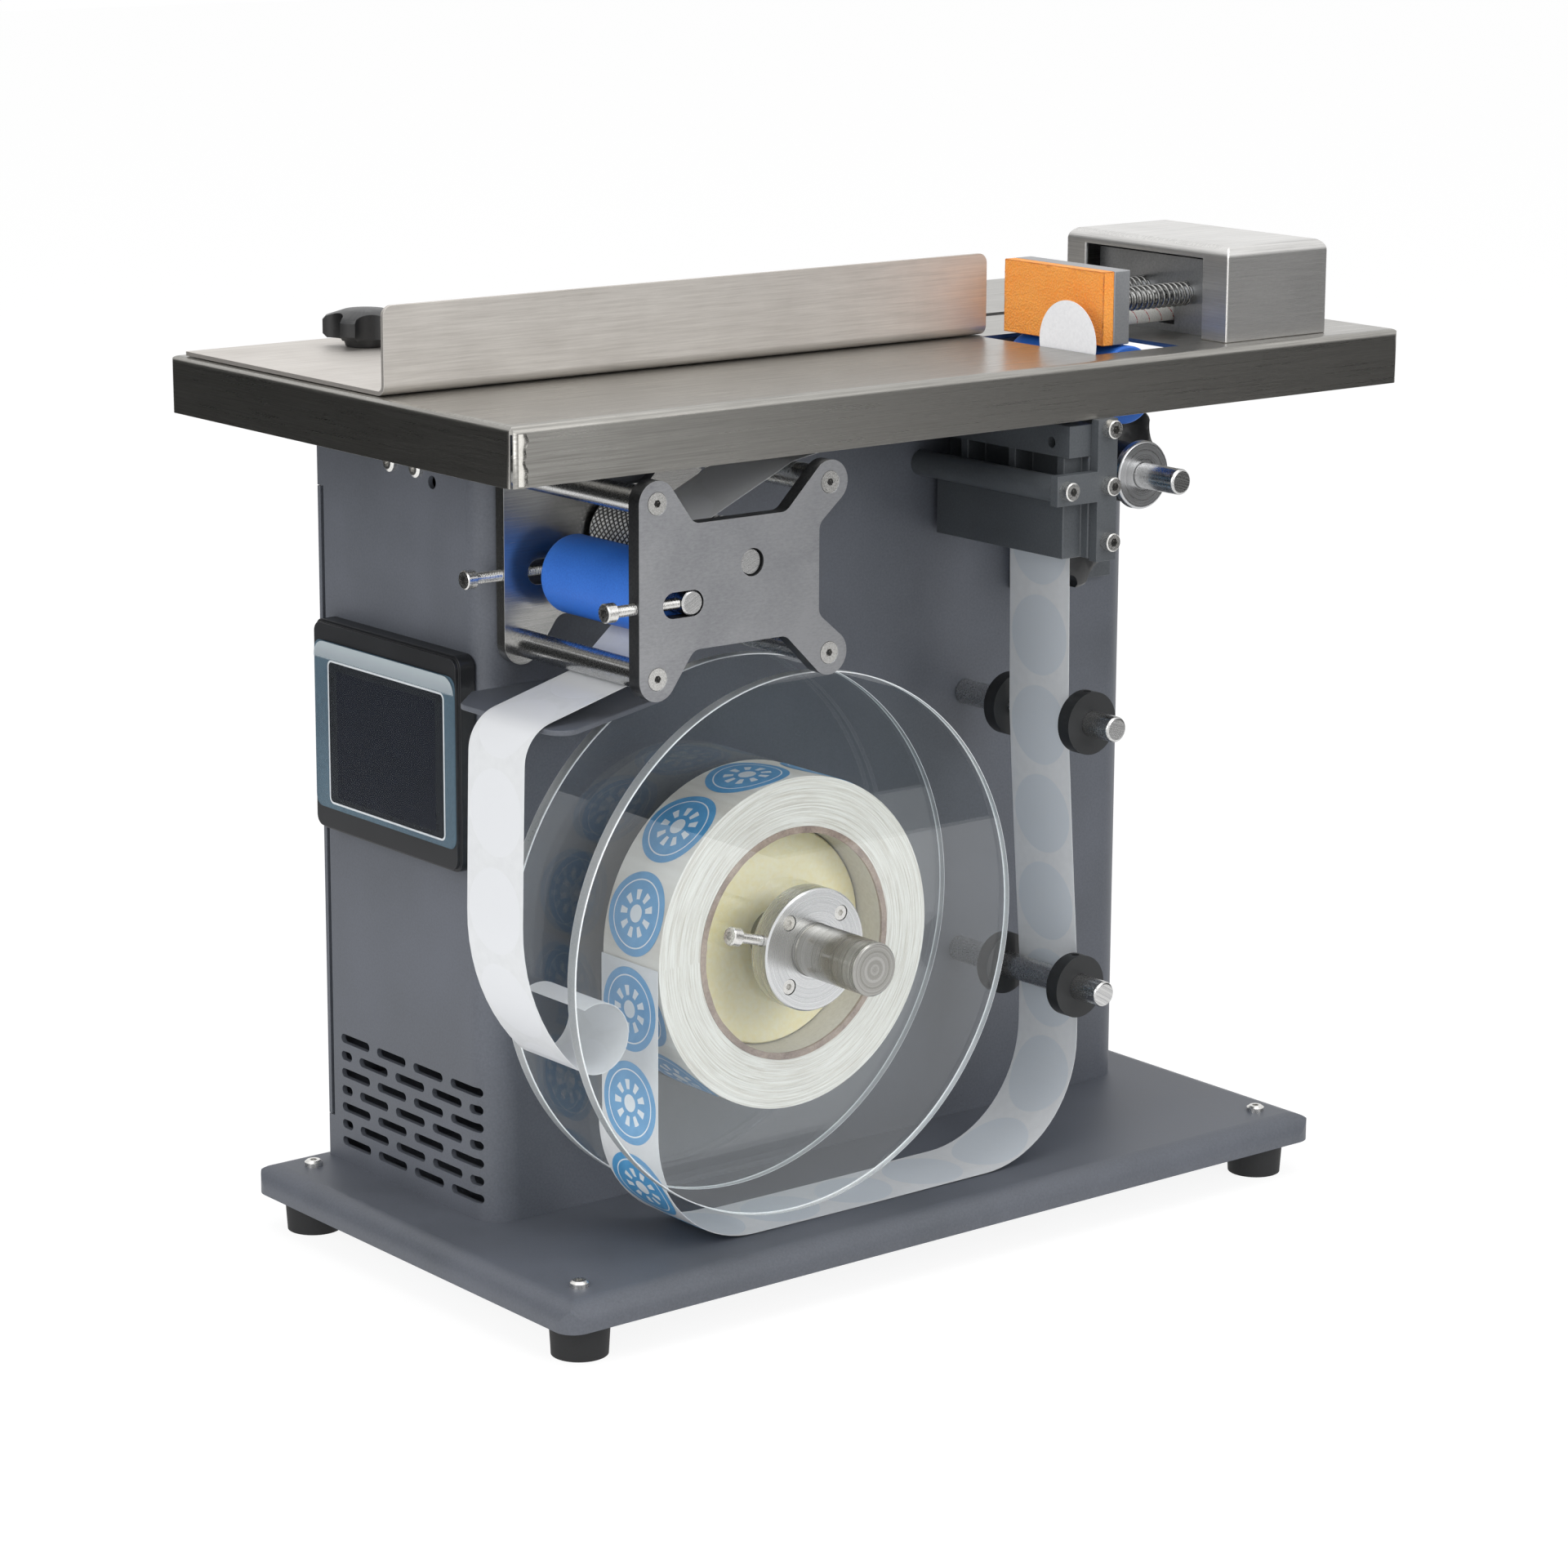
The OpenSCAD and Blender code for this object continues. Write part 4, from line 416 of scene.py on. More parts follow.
def settle(piece, name, body, material, angle=30):
    takeUp(piece)
    piece.name = piece.data.name = name
    bpy.ops.object.transform_apply(location=True, rotation=True, scale=True)
    openMesh()
    bpy.ops.mesh.remove_doubles(threshold=1e-6)
    bpy.ops.mesh.normals_make_consistent(inside=False)
    closeMesh()
    piece.data.materials.clear()
    piece.data.materials.append(material)
    bpy.ops.object.shade_smooth_by_angle(angle=math.radians(angle))
    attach(piece, body)
    return piece


def addModifier(piece, kind, **settings):
    takeUp(piece)
    made = piece.modifiers.new(kind.lower(), kind)
    for key, value in settings.items():
        setattr(made, key, value)
    bpy.ops.object.modifier_apply(modifier=made.name)


def turnPiece(profile, x, z, steps):
    # a closed profile of (radius, d) points, spun round the axis along Y
    begin()
    bpy.ops.mesh.primitive_circle_add(vertices=len(profile), radius=0.01)
    piece = bpy.context.object
    for corner, (radius, d) in zip(piece.data.vertices, profile):
        corner.co = at(x + radius, d, z)
    openMesh()
    bpy.ops.mesh.spin(steps=steps, angle=2 * math.pi, center=(x / 1000, 0, z / 1000), axis=(0, 1, 0))
    bpy.ops.mesh.select_all(action="SELECT")
    bpy.ops.mesh.remove_doubles(threshold=1e-6)
    bpy.ops.mesh.normals_make_consistent(inside=False)
    closeMesh()
    return piece


def windWire(sides, wire, radius, angle, offset, turns, steps):
    # a wire wound about the X axis: the two radii and the way it goes in one turn in mm
    begin()
    bpy.ops.mesh.primitive_circle_add(vertices=sides, radius=wire / 1000, location=(0, 0, radius / 1000),
                                      rotation=(math.pi / 2, 0, 0))
    piece = bpy.context.object
    bpy.ops.object.transform_apply(location=True, rotation=True)
    addModifier(piece, "SCREW", axis="X", angle=angle, screw_offset=offset / 1000, iterations=turns, steps=steps,
                render_steps=steps)
    return piece


# one strip of paper runs round circles [x, z, radius, side]; side 1 keeps the circle on the left of the run
def headingTo(a, b):
    span = math.hypot(b[0] - a[0], b[1] - a[1])
    lean = max(-1, min(1, (b[2] * b[3] - a[2] * a[3]) / span))
    return math.degrees(math.atan2(b[1] - a[1], b[0] - a[0])) - math.degrees(math.asin(lean))


def runRound(circles, stepDeg=5):
    headings = [headingTo(a, b) for a, b in zip(circles, circles[1:])]
    line = []
    for i, (x, z, radius, side) in enumerate(circles):
        first, last = headings[max(0, i - 1)], headings[min(len(headings) - 1, i)]
        sweep = (last - first) % 360 if side > 0 else -((first - last) % 360)
        sweep = sweep - 360 if sweep > 340 else sweep + 360 if sweep < -340 else sweep
        steps = 0 if i in (0, len(circles) - 1) else max(1, math.ceil(abs(sweep) / stepDeg))
        for j in range(steps + 1):
            t = math.radians(first + (sweep * j / steps if steps else 0))
            line.append((x + side * radius * math.sin(t), z - side * radius * math.cos(t), t))
    return line


def measure(line):
    marks = [0.0]
    for a, b in zip(line, line[1:]):
        marks.append(marks[-1] + math.hypot(b[0] - a[0], b[1] - a[1]))
    return marks


def pointAt(line, marks, s, lift):
    # x and z at the length s of the run, lifted to the printed side
    s = max(0.0, min(marks[-1], s))
    i = max(k for k in range(len(marks) - 1) if marks[k] <= s + 1e-9)
    share = (s - marks[i]) / max(1e-9, marks[i + 1] - marks[i])
    x, z, t = (a + (b - a) * share for a, b in zip(line[i], line[i + 1]))
    return x + math.sin(t) * lift, z - math.cos(t) * lift


def layStrip(line, name, material, wave, rows=160, waveMm=23.0):
    marks = measure(line)
    stops = sorted(set([round(m, 3) for m in marks] + [marks[-1] * k / rows for k in range(rows + 1)]))
    begin()
    bpy.ops.mesh.primitive_grid_add(x_subdivisions=len(stops) - 1, y_subdivisions=8, size=1)
    piece = bpy.context.object
    mesh = piece.data
    columns = sorted({round(v.co.x, 6) for v in mesh.vertices})
    rank = {c: i for i, c in enumerate(columns)}
    scale = (len(stops) - 1) / (len(columns) - 1)
    spots = {}
    for v in mesh.vertices:
        s, across = stops[round(rank[round(v.co.x, 6)] * scale)], v.co.y
        spots[v.index] = (s / webPlan["pitch"], across + 0.5)
        x, z = pointAt(line, marks, s, wave * math.sin(s / waveMm) * (abs(across) * 2) ** 2)
        v.co = at(x, webPlan["midD"] + across * webPlan["wide"], z)
    uv = mesh.uv_layers.active
    uv.name = "stripMap"
    for loop in mesh.loops:
        uv.data[loop.index].uv = spots[loop.vertex_index]
    addModifier(piece, "SOLIDIFY", thickness=webPlan["thick"] / 1000, offset=0)
    settle(piece, name, "machine_frame", material, 40)
    return piece, marks


def layLabels(line, marks, starts, name, body, lift):
    begin()
    bpy.ops.mesh.primitive_circle_add(vertices=56, radius=0.5, fill_type="NGON")
    first = bpy.context.object
    openMesh()
    for inset in (0.08, 0.1, 0.1, 0.1, 0.07):
        bpy.ops.mesh.inset(thickness=inset)
    bpy.ops.mesh.poke()
    closeMesh()
    flat = [v.co.copy() for v in first.data.vertices]
    uv = first.data.uv_layers.active
    for loop in first.data.loops:
        p = flat[loop.vertex_index]
        uv.data[loop.index].uv = (p.x + 0.5, p.y + 0.5)
    copies = []
    for start in starts:
        disc = first.copy()
        disc.data = first.data.copy()
        scene.collection.objects.link(disc)
        for v, p in zip(disc.data.vertices, flat):
            x, z = pointAt(line, marks, start + p.x * 2 * webPlan["labelRadius"], lift)
            v.co = at(x, webPlan["midD"] - p.y * 2 * webPlan["labelRadius"], z)
        copies.append(disc)
    bpy.data.objects.remove(first)
    piece = joinAll(copies)
    addModifier(piece, "SOLIDIFY", thickness=webPlan["labelThick"] / 1000, offset=0)
    return settle(piece, name, body, labelPrint, 40)


# the web from the roll past base, posts and head to the peel nose
webRun = {"circles": [(*reelAxis, 63, 1), (-98.5, 71.5, 46, 1), (15.5, 71.5, 46, 1), (56, 95, 5.5, 1),
                      (59.5, 199, 5.5, -1), (56.5, 271.5, 3.5, -1), (56.5, 314.4, 3.5, -1), (64.4, 336.15, 1.25, 1)],
          "wave": 0.12, "labelLift": 0.14}
webLine = runRound(webRun["circles"])
labelWeb, webMarks = layStrip(webLine, "labelWeb", linerPaper["WithLabels"], webRun["wave"])
# the discs of the faint show-through sit where the labels lie: in the middle of each pitch
webStarts = [(k + 0.5) * webPlan["pitch"] for k in range(int(webMarks[-1] / webPlan["pitch"]))]
webLabels = layLabels(webLine, webMarks, webStarts, "webLabels", "machine_frame", webRun["labelLift"])
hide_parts("label_web")

# the bare liner from the peel nose over rods, knurled roller and nip to its free curl
linerRun = {"circles": [(64.4, 336.15, 1.25, 1), (64.4, 336.16, 1.25, 1), (-80, 308, 5.5, 1), (*driveAxis, 13.9, 1),
                        (-141.583, 271.33, 15, -1), (-157, 246, 5.5, -1), (-185.5, 217, 15, 1), (-127, 158, 75, 1),
                        (-170.84, 114.16, 13, 1), (-176.84, 125.66, 0, 1)], "wave": 0.1}
linerLine = runRound(linerRun["circles"])[2:]
linerWeb, linerMarks = layStrip(linerLine, "wasteLiner", linerPaper["Bare"], linerRun["wave"])
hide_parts("liner_web")
print("web and liner laid:", round(webMarks[-1]), round(linerMarks[-1]), "mm")

# the roll: a few dozen turns that stand a little in and out of each other
rollPlan = {"inner": 43.87, "outer": 62.5, "turns": 34, "uneven": 0.22, "groove": 0.06, "back": 33.0, "front": 67.0,
            "steps": 96, "labels": 11, "labelRun": 62.56, "labelLift": 0.02}
rollX, rollZ = reelAxis
rollWall = rollPlan["outer"] - rollPlan["inner"]
frontEdge, backEdge = [], []
for k in range(rollPlan["turns"]):
    low = rollPlan["inner"] + rollWall * k / rollPlan["turns"]
    high = rollPlan["inner"] + rollWall * (k + 1) / rollPlan["turns"]
    inF, inB = random.uniform(0, rollPlan["uneven"]), random.uniform(0, rollPlan["uneven"])
    for edge, d in ((frontEdge, rollPlan["front"] - inF), (backEdge, rollPlan["back"] + inB)):
        edge += [(low, d), (high - rollPlan["groove"], d)]
labelRoll = turnPiece(frontEdge + backEdge[::-1], rollX, rollZ, rollPlan["steps"])
settle(labelRoll, "labelRoll", "reel", rollEdge)
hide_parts("label_roll")
# the web leaves the roll at its leftmost point; the labels go on from there round the roll at the same pitch
labelRun = rollPlan["labelRun"]
turnLine = [(rollX + labelRun * math.cos(math.radians(a)), rollZ + labelRun * math.sin(math.radians(a)),
             math.radians(a + 90)) for a in range(0, 721, 4)]
turnAngles = [math.degrees((k + 0.5) * webPlan["pitch"] / labelRun) for k in range(rollPlan["labels"])]
turnStarts = [math.radians((180 - a - 20) % 360 + 20) * labelRun for a in turnAngles]
layLabels(turnLine, measure(turnLine), turnStarts, "rollLabels", "reel", rollPlan["labelLift"])

# the label at the peel edge, three fifths of a disc that has come through the table
standPlan = {"x": 65.6, "radius": 16.0, "centreZ": 342.5, "cutZ": 337.95, "rim": 2.0, "thick": 0.18}
begin()
bpy.ops.mesh.primitive_circle_add(vertices=72, radius=standPlan["radius"] / 1000, fill_type="NGON",
                                  location=at(standPlan["x"], webPlan["midD"], standPlan["centreZ"]),
                                  rotation=(0, math.pi / 2, 0))
standing = bpy.context.object
bpy.ops.object.transform_apply(location=True, rotation=True)
openMesh()
bpy.ops.mesh.bisect(plane_co=(0, 0, standPlan["cutZ"] / 1000), plane_no=(0, 0, 1), clear_inner=True)
bpy.ops.mesh.select_all(action="SELECT")
bpy.ops.mesh.inset(thickness=standPlan["rim"] / 1000)
bpy.ops.mesh.poke()
closeMesh()
addModifier(standing, "SOLIDIFY", thickness=standPlan["thick"] / 1000, offset=0)
settle(standing, "standingLabel", "machine_frame", labelBack, 40)
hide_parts("standing_label")
print("roll and labels made")

# the foam face: a block with soft cut edges and a slightly full front
foamPlan = {"low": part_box("foam_pad")[0], "high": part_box("foam_pad")[1], "round": 0.35, "cuts": 22, "full": 0.0001,
            "rough": 0.0002, "unevenY": 0.006, "unevenZ": 0.01}
low, high = foamPlan["low"], foamPlan["high"]
begin()
bpy.ops.mesh.primitive_cube_add(size=1, location=(low + high) / 2)
foam = bpy.context.object
foam.scale = high - low
bpy.ops.object.transform_apply(location=True, rotation=True, scale=True)
openMesh()
bpy.ops.mesh.bevel(offset=foamPlan["round"] / 1000, segments=2, affect="EDGES")
bpy.ops.mesh.select_all(action="SELECT")
bpy.ops.mesh.subdivide(number_cuts=foamPlan["cuts"])
closeMesh()
middle, half = (low + high) / 2, (high - low) / 2
for v in foam.data.vertices:
    ry, rz = (v.co.y - middle.y) / half.y, (v.co.z - middle.z) / half.z
    if v.co.x < middle.x:
        v.co.x += foamPlan["full"] * (ry * ry + rz * rz) * 0.5 + random.uniform(0, foamPlan["rough"])
    v.co.y = middle.y + (v.co.y - middle.y) * (1 - random.uniform(0, foamPlan["unevenY"]))
    v.co.z = middle.z + (v.co.z - middle.z) * (1 - random.uniform(0, foamPlan["unevenZ"]))
settle(foam, "foamPad", "press_pad", foamSkin, 60)
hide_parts("foam_pad")

# two compression springs that run towards the bracket
springPlan = {"startX": 88.8, "endX": 134.8, "wire": 1.1, "outside": 9.7, "turns": 16, "steps": 20, "midD": 31.0,
              "gap": 24.0, "z": 355.7, "travel": 12.0}
springReach = springPlan["endX"] - springPlan["startX"]
for side, name in ((-1, "rearSpring"), (1, "frontSpring")):
    spring = windWire(10, springPlan["wire"] / 2, (springPlan["outside"] - springPlan["wire"]) / 2, 2 * math.pi,
                      (springReach - springPlan["wire"]) / springPlan["turns"], springPlan["turns"],
                      springPlan["steps"])
    bpy.ops.object.mode_set(mode="EDIT")
    bpy.ops.mesh.select_all(action="DESELECT")
    bpy.ops.mesh.select_non_manifold()
    bpy.ops.mesh.edge_face_add()
    closeMesh()
    place = Vector(at(springPlan["startX"] + springPlan["wire"] / 2, springPlan["midD"] + side * springPlan["gap"] / 2,
                      springPlan["z"]))
    for v in spring.data.vertices:
        v.co += place
    settle(spring, name, "machine_frame", springSteel, 40)
    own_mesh(spring)
    if side > 0:
        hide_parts("press_springs")

# the lead: a tube of crossing strands over a core, between pad and box
leadPlan = {"startX": 88.6, "endX": 149.0, "d": 31.0, "z": 347.0, "radius": 3.5, "coreIn": 0.55, "strand": 0.34,
            "strands": 18, "pitch": 13.0, "steps": 84, "tracers": (3, 12)}
leadReach = leadPlan["endX"] - leadPlan["startX"]
begin()
bpy.ops.mesh.primitive_cylinder_add(vertices=40, radius=(leadPlan["radius"] - leadPlan["coreIn"]) / 1000,
                                    depth=leadReach / 1000, rotation=(0, math.pi / 2, 0),
                                    location=at(leadPlan["startX"] + leadReach / 2, leadPlan["d"], leadPlan["z"]))
core = bpy.context.object
bpy.ops.object.transform_apply(location=True, rotation=True)
# the core between the strands is a darker grey: painted shade inside the tube
core.data.materials.append(braid["Shade"])
leadStrands = [core]
startX, leadY, leadZ = at(leadPlan["startX"], leadPlan["d"], leadPlan["z"])
for way in (-1, 1):
    for k in range(leadPlan["strands"]):
        strand = windWire(6, leadPlan["strand"], leadPlan["radius"] - leadPlan["strand"],
                          way * 2 * math.pi * leadReach / leadPlan["pitch"], leadReach, 1, leadPlan["steps"])
        turnBy = Matrix.Rotation(2 * math.pi * k / leadPlan["strands"], 3, "X")
        for v in strand.data.vertices:
            v.co = turnBy @ v.co
            # each strand goes over and under those that cross it
            phase = 2 * math.pi * v.co.x * 1000 / leadPlan["pitch"] * leadPlan["strands"] / 2
            over = 0.97 - 0.03 * way * math.sin(phase)
            v.co = Vector((startX + v.co.x, leadY + v.co.y * over, leadZ + v.co.z * over))
        strand.data.materials.append(braid["Red" if way > 0 and k in leadPlan["tracers"] else "White"])
        leadStrands.append(strand)
lead = joinAll(leadStrands)
lead.name = lead.data.name = "braidedLead"
bpy.ops.object.shade_smooth_by_angle(angle=math.radians(50))
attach(lead, "press_pad")
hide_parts("pad_lead")
print("pad, springs and lead made")


def softCopy(nodeName, name, body, slotName, material, breakMm, edge=None):
    # a node's own shape with its sharp edges broken, so that they catch the light
    piece = nodes[nodeName].copy()
    piece.data = nodes[nodeName].data.copy()
    for key in [k for k in piece.keys() if k.startswith("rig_")]:
        del piece[key]
    piece.parent = None
    scene.collection.objects.link(piece)
    takeUp(piece)
    bpy.ops.mesh.customdata_custom_splitnormals_clear()
    openMesh()
    bpy.ops.mesh.remove_doubles(threshold=1e-6)
    bpy.ops.mesh.dissolve_limited(angle_limit=math.radians(0.6))
    closeMesh()
    settle(piece, name, body, material, 35)
    if edge:
        piece.data.materials.append(edge)
    addModifier(piece, "BEVEL", width=breakMm / 1000, segments=3, limit_method="ANGLE",
                angle_limit=math.radians(40), material=1 if edge else -1)
    bpy.ops.object.shade_smooth_by_angle(angle=math.radians(35))
    addModifier(piece, "WEIGHTED_NORMAL", keep_sharp=True)
    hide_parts(nodeName)


# node: piece, body, slot, finish, width of the broken edge in mm and where it differs its finish
brokenEdges = {
    "outer_plate": ("outerPlate", "machine_frame", "machined_aluminium", plateSteel, 0.4, brightArris),
    "inner_plate": ("innerPlate", "machine_frame", "machined_aluminium", satinSteel, 0.4, brightArris),
    "fence": ("fenceSheet", "sliding_fence", "stainless_sheet", fenceSteel, 0.3),
    "table_top": ("tableSheet", "machine_frame", "stainless_sheet", tableSteel, 0.35),
    "press_box": ("boxSheet", "machine_frame", "stainless_sheet", boxSteel, 0.5),
    "press_bracket": ("boxBracket", "machine_frame", "machined_aluminium", milledAlu, 0.4),
    "pad_plate": ("padBack", "press_pad", "machined_aluminium", padAlu, 0.4),
    "head_front_plate": ("headFront", "machine_frame", "slate_coat", headCoat, 0.5),
    "head_angle": ("headSide", "machine_frame", "slate_coat", headCoat, 0.4),
    "peel_bar": ("peelNose", "machine_frame", "slate_coat", headCoat, 0.25),
    "liner_deflector": ("deflectorSheet", "machine_frame", "slate_coat", slateCoat, 0.4),
    "hmi_bezel": ("panelFrame", "machine_frame", "panel_plastic", panelPlastic, 0.9),
    "clamp_collar": ("shaftCollar", "reel", "machined_aluminium", collarAlu, 0.35),
    "reel_shaft": ("reelSpindle", "reel", "bright_steel", shaftSteel, 0.5),
    "pinch_roller": ("pinchSleeve", "pinch_sleeve", "blue_rubber", blueRubber, 1.2),
    "table_roller": ("tableSleeve", "table_drum", "blue_rubber", blueRubber, 0.8),
    "front_disc": ("frontSide", "reel", "clear_acrylic", acrylic, 0.4, rimWhite),
    "rear_disc": ("rearSide", "reel", "clear_acrylic", acrylic, 0.4, rimWhite),
    "fence_knob": ("clampGrip", "clamp_knob", "black_plastic", blackMoulding, 0.7),
    "head_knob_upper": ("upperGrip", "upper_knob", "black_plastic", blackMoulding, 0.6),
    "head_knob_lower": ("lowerGrip", "lower_knob", "black_plastic", blackMoulding, 0.6),
    "guide_collars_rear": ("rearCollars", "machine_frame", "black_plastic", mattBlack, 0.5),
    "guide_collar_upper": ("upperCollar", "upper_collar", "black_plastic", mattBlack, 0.5),
    "guide_collar_lower": ("lowerCollar", "lower_collar", "black_plastic", mattBlack, 0.5),
    "roller_flange": ("guideFlange", "guide_drum", "machined_aluminium", flangeAlu, 0.3),
    "guide_posts": ("guidePins", "machine_frame", "bright_steel", groundSteel, 0.4)}
for nodeName, plan in brokenEdges.items():
    softCopy(nodeName, *plan)
# the head's flange stops above the web: its lower left corner is cut away
flangeCut = {"low": (36.0, -22.0, 234.0), "high": (82.0, -10.0, 264.6)}
begin()
bpy.ops.mesh.primitive_cube_add(size=1, location=[(a + b) / 2000 for a, b in zip(*flangeCut.values())])
cutter = bpy.context.object
cutter.scale = [(b - a) / 1000 for a, b in zip(*flangeCut.values())]
addModifier(bpy.data.objects["headSide"], "BOOLEAN", object=cutter, operation="DIFFERENCE", solver="EXACT")
bpy.data.objects.remove(cutter)
for name in ("frontSide", "rearSide"):
    bpy.data.objects[name].visible_shadow = False  # clear sheet lets the lamps reach the roll behind it
for name, rim in (("frontSide", rimHaze), ("rearSide", rimHaze), ("outerPlate", plateEdge)):
    piece = bpy.data.objects[name]
    piece.data.materials.append(rim)
    for face in piece.data.polygons:
        if face.material_index == 0 and abs(face.normal.y) < 0.5:
            face.material_index = 2
print("edges broken on", len(brokenEdges), "pieces")

# the knurl of the drive roller: crossing grooves leave rows of small pyramids
knurlPlan = {"low": 13.43, "rise": 0.36, "around": 64, "along": 50, "back": 7.4, "front": 77.6}
begin()
bpy.ops.mesh.primitive_grid_add(x_subdivisions=knurlPlan["around"], y_subdivisions=knurlPlan["along"], size=1)
knurl = bpy.context.object
for v in knurl.data.vertices:
    a, share = 2 * math.pi * (v.co.x + 0.5), v.co.y + 0.5
    v.co = at(driveAxis[0] + knurlPlan["low"] * math.cos(a),
              knurlPlan["back"] + (knurlPlan["front"] - knurlPlan["back"]) * share,
              driveAxis[1] + knurlPlan["low"] * math.sin(a))
openMesh()
bpy.ops.mesh.remove_doubles(threshold=1e-6)
bpy.ops.mesh.unsubdivide(iterations=1)
bpy.ops.mesh.select_all(action="SELECT")
bpy.ops.mesh.fill_holes(sides=0)
bpy.ops.mesh.select_all(action="SELECT")
bpy.ops.mesh.normals_make_consistent(inside=False)
bpy.ops.mesh.select_face_by_sides(number=5, type="LESS", extend=False)
bpy.ops.mesh.poke(offset=knurlPlan["rise"] / 1000)
closeMesh()
settle(knurl, "rollerKnurl", "drive_shaft", knurlPaintedShadeAndGlint, 10)

# threads of the two pressure screws: name, start and distance from the column
threadPlan = {"pitch": 0.7, "radius": 1.94, "ridge": 0.16, "steps": 16, "z": 271.33, "endX": -146.6,
              "screws": (("frontThread", -173.8, 83.0), ("rearThread", -176.8, 2.5))}
for name, startX, d in threadPlan["screws"]:
    turns = int((threadPlan["endX"] - startX) / threadPlan["pitch"])
    thread = windWire(4, threadPlan["ridge"], threadPlan["radius"], 2 * math.pi, threadPlan["pitch"], turns,
                      threadPlan["steps"])
    for v in thread.data.vertices:
        v.co += Vector((startX / 1000 + threadPlan["ridge"] / 1000, frontOf(d), threadPlan["z"] / 1000))
    openMesh()
    bpy.ops.mesh.fill_holes(sides=0)
    closeMesh()
    settle(thread, name, "pinch_carriage", screwSteel)

# dark plugs on the floors of the hexagon sockets are painted shade: body, axis, radius and places
headD, screwZ, plugThick = 85.95, threadPlan["z"], 0.3
socketPlan = {"plateSockets": ("machine_frame", "y", 1.38, [(x, 84.55, z) for x in (-157, -80) for z in (246, 308)]),
              "headSockets": ("machine_frame", "y", 1.62, [(56.5, headD, 314.4), (56.5, headD, 292.8),
                                                           (56.5, headD, 271.5), (35.5, headD, 292.8)]),
              "screwSockets": ("pinch_carriage", "x", 1.62, [(-175.95, 83.0, screwZ), (-178.95, 2.5, screwZ)])}
for name, (body, axis, radius, places) in socketPlan.items():
    plugs = []
    for place in places:
        begin()
        bpy.ops.mesh.primitive_cylinder_add(vertices=6, radius=radius / 1000, depth=plugThick / 1000,
                                            location=at(*place),
                                            rotation=(math.pi / 2, 0, 0) if axis == "y" else (0, math.pi / 2, 0))
        plugs.append(bpy.context.object)
    settle(joinAll(plugs), name, body, socketShade)
print("knurl, threads and sockets made")

# the core's sawn edge: wavy inside and out, a little proud of the roll
corePlan = {"inner": 41.55, "outer": 43.72, "back": 33.0, "front": 67.0, "lip": 1.2, "flare": 0.1, "wave": 0.45,
            "proud": 0.7, "steps": 180, "waves": (5, 11, 17, 26, 41, 67)}
lipD = corePlan["front"] - corePlan["lip"]
core = turnPiece([(corePlan["inner"], corePlan["back"]), (corePlan["outer"], corePlan["back"]),
                  (corePlan["outer"], lipD), (corePlan["outer"] + corePlan["flare"], corePlan["front"]),
                  (corePlan["inner"] - corePlan["flare"], corePlan["front"]), (corePlan["inner"], lipD)],
                 rollX, rollZ, corePlan["steps"])
phases = [random.uniform(0, 2 * math.pi) for n in corePlan["waves"]]
midX, midZ = rollX / 1000, rollZ / 1000
for v in core.data.vertices:
    dx, dz = v.co.x - midX, v.co.z - midZ
    a, r = math.atan2(dz, dx), math.hypot(dx, dz)
    if v.co.y < frontOf(corePlan["front"] - 0.6):
        ragged = sum(math.sin(a * n + p) / (1 + k) for k, (n, p) in enumerate(zip(corePlan["waves"], phases)))
        inside = r < (corePlan["inner"] + corePlan["outer"]) / 2000
        r += (abs(ragged) * -0.3 if inside else ragged * 0.12) * corePlan["wave"] / 1000
        v.co = (midX + r * math.cos(a), v.co.y - (0.5 + 0.25 * ragged) * corePlan["proud"] * 0.5 / 1000,
                midZ + r * math.sin(a))
settle(core, "rollCore", "reel", coreBoard, 40)
core.data.materials.append(coreLining)
for face in core.data.polygons:
    inward = face.normal.x * (face.center.x - midX) + face.normal.z * (face.center.z - midZ) < -0.02
    face.material_index = 1 if inward and face.center.y > frontOf(corePlan["front"] - 0.9) else 0
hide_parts("paper_core")

# flat pieces on the panel's face, which looks left: width, height, corner and thickness,
# how far out, back and up from the panel's middle, finish, slot and the width of a ring
panelPlan = {"x": -178.0, "y": 42.5, "z": 200.5}
foils = {"panelFoil": (93.4, 64.5, 4.0, 0.3, 0.2, 0, 0.6, foilBlue, "panel_plastic", 0),
         "panelWindow": (76.4, 54.6, 2.2, 0.2, 0.26, -1.2, -1.8, windowBlack, "screen", 0),
         "panelLine": (77.4, 55.6, 2.6, 0.2, 0.3, -1.2, -1.8, foilLine, "panel_plastic", 0.75),
         "panelDisplay": (65.5, 49.0, 0.8, 0.15, 0.3, -1.2, -2.2, screenGlass, "screen", 0),
         "panelFilm": (93.0, 63.8, 6.5, 0.12, 0.75, 0, 0.8, filmClear, "screen", 0)}
for name, (wide, high, corner, thick, out, back, up, material, slotName, ring) in foils.items():
    begin()
    place = [(panelPlan["x"] - out) / 1000, (panelPlan["y"] + back) / 1000, (panelPlan["z"] + up) / 1000]
    bpy.ops.mesh.primitive_plane_add(size=1, location=place, rotation=(0, -math.pi / 2, 0))
    piece = bpy.context.object
    piece.scale = (high / 1000, wide / 1000, 1)
    bpy.ops.object.transform_apply(location=True, rotation=True, scale=True)
    openMesh()
    bpy.ops.mesh.bevel(offset=corner / 1000, segments=6, affect="VERTICES")
    if ring:
        bpy.ops.mesh.select_all(action="SELECT")
        bpy.ops.mesh.inset(thickness=ring / 1000)
        bpy.ops.mesh.delete(type="FACE")
    closeMesh()
    addModifier(piece, "SOLIDIFY", thickness=thick / 1000, offset=-1)
    settle(piece, name, "machine_frame", material)
print("core and panel made")

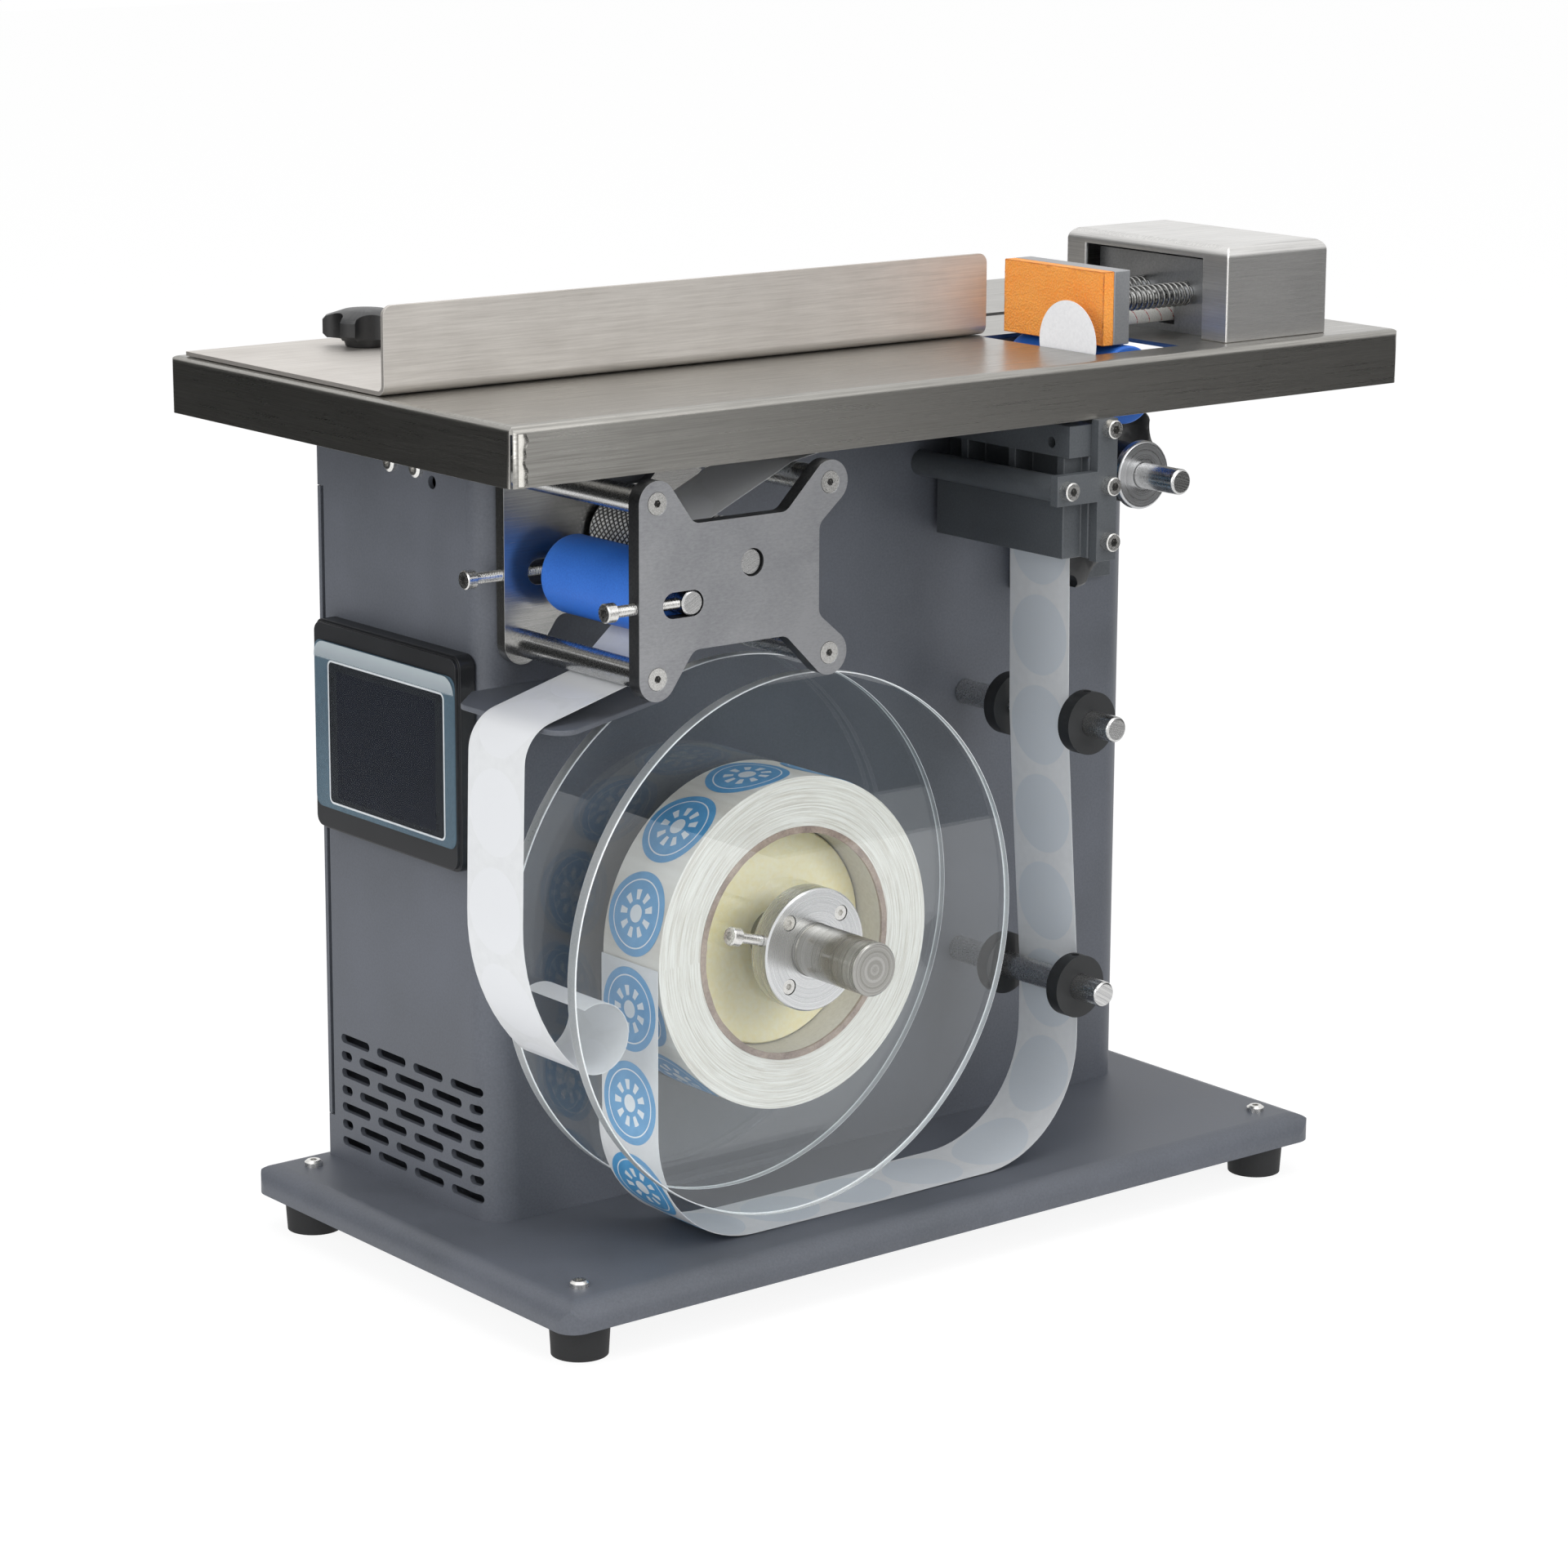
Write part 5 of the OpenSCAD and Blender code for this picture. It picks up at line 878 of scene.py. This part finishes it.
# ground weld seam at the table's front left corner, painted bright as the corner's glint
seamPlan = {"x": -211.8, "y": -93.5, "low": 318.6, "high": 336.6, "rows": 26, "wide": 3.4, "bulge": 0.3,
            "proud": 0.02, "thick": 0.1}
begin()
bpy.ops.mesh.primitive_grid_add(x_subdivisions=8, y_subdivisions=seamPlan["rows"], size=1)
seam = bpy.context.object
for v in seam.data.vertices:
    across, up = v.co.x + 0.5, v.co.y + 0.5
    reach = seamPlan["wide"] * (1 + 0.16 * math.sin(up * 9.0) + 0.1 * math.sin(up * 23.0 + 1)) * across
    v.co = ((seamPlan["x"] + reach) / 1000,
            (seamPlan["y"] - seamPlan["proud"] - seamPlan["bulge"] * math.sin(math.pi * across)) / 1000,
            (seamPlan["low"] + (seamPlan["high"] - seamPlan["low"]) * up) / 1000)
addModifier(seam, "SOLIDIFY", thickness=seamPlan["thick"] / 1000, offset=0)
settle(seam, "cornerSeam", "machine_frame", cornerSeamGlint, 60)


def seenRays(tree):
    # 1 for a ray that looks straight, by a mirror or through glass
    path = addNode(tree, "LightPath")
    seen = addNode(tree, "Math", {0: path.outputs["Is Camera Ray"], 1: path.outputs["Is Glossy Ray"]},
                   operation="MAXIMUM")
    return addNode(tree, "Math", {0: seen, 1: path.outputs["Is Transmission Ray"]}, operation="MAXIMUM")


# plain pale floor, white all round for what looks at it, soft light from large panels
floorPlan = {"size": 14.0, "z": -0.0002, "tone": "#f6f6f6", "show": 0.8, "glow": 1.11}
skyPlan = {"fill": 0.5, "white": 1.0}
begin()
bpy.ops.mesh.primitive_plane_add(size=floorPlan["size"], location=(0, 0, floorPlan["z"]))
floor = bpy.context.object
floor.name = "studioFloor"
floorPaint, tree, shader = startMaterial("paleStudioFloor", Base_Color=linear(floorPlan["tone"]), Roughness=0.9)
glow = addNode(tree, "Emission", {"Color": (1, 1, 1, 1), "Strength": floorPlan["glow"]})
share = addNode(tree, "Math", {0: seenRays(tree), 1: floorPlan["show"]}, operation="MULTIPLY")
blendIn = addNode(tree, "MixShader", {0: share, 1: shader, 2: glow})
tree.links.new(blendIn.outputs[0], tree.nodes["Material Output"].inputs["Surface"])
floor.data.materials.append(floorPaint)

world = bpy.data.worlds.new("whiteStudio")
scene.world = world
world.use_nodes = True
tree = world.node_tree
tree.nodes.clear()
fill = addNode(tree, "Background", {"Color": (1, 1, 1, 1), "Strength": skyPlan["fill"]})
white = addNode(tree, "Background", {"Color": (1, 1, 1, 1), "Strength": skyPlan["white"]})
mixed = addNode(tree, "MixShader", {0: seenRays(tree), 1: fill, 2: white})
addNode(tree, "OutputWorld", {"Surface": mixed})

# place, what it looks at, size in metres and power in watts
lamps = {"topPanel": ((-0.1, -0.2, 2.2), (0, 0, 0.2), 2.0, 22),
         "leftPanel": ((-2.2, -0.4, 1.1), (0, 0, 0.2), 1.4, 18),
         "frontPanel": ((0.5, -2.4, 1.3), (0, 0, 0.2), 1.4, 18)}
for name, (place, target, size, power) in lamps.items():
    data = bpy.data.lights.new(name, "AREA")
    data.size, data.energy = size, power
    lamp = bpy.data.objects.new(name, data)
    scene.collection.objects.link(lamp)
    lamp.location = place
    lamp.rotation_euler = (Vector(target) - Vector(place)).to_track_quat("-Z", "Y").to_euler()

# dark cards and mats that only mirror-like surfaces see, as black flags in a studio
cards = {"leftCard": ((-1.15, 0.95, 0.35), (0, 0, 0.3), (2.2, 1.2), "#1d1e1e"),
         "leftMat": ((-1.05, 0.9, 0.004), (-1.05, 0.9, 1), (1.1, 1.1), "#1d1e1e"),
         "frontCard": ((1.27, -0.95, 0.2), (0, 0, 0.25), (1.5, 1.0), "#3a3a3a"),
         "frontMat": ((1.2, -0.8, 0.004), (1.2, -0.8, 1), (0.9, 0.9), "#3a3a3a"),
         "discMat": ((0.47, -0.76, 0.004), (0.47, -0.76, 1), (0.32, 0.34), "#1d1e1e")}
for name, (place, target, size, tone) in cards.items():
    begin()
    bpy.ops.mesh.primitive_plane_add(size=1, location=place)
    card = bpy.context.object
    card.name = name
    card.scale = (*size, 1)
    card.rotation_euler = (Vector(target) - Vector(place)).to_track_quat("Z", "Y").to_euler()
    card.visible_camera = card.visible_diffuse = card.visible_shadow = False
    card.visible_transmission = name == "discMat"  # the clear discs mirror it through each other
    paint, tree, shader = startMaterial(name + "Paint", Base_Color=linear(tone), Roughness=1.0)
    card.data.materials.append(paint)
print("stage and light set")
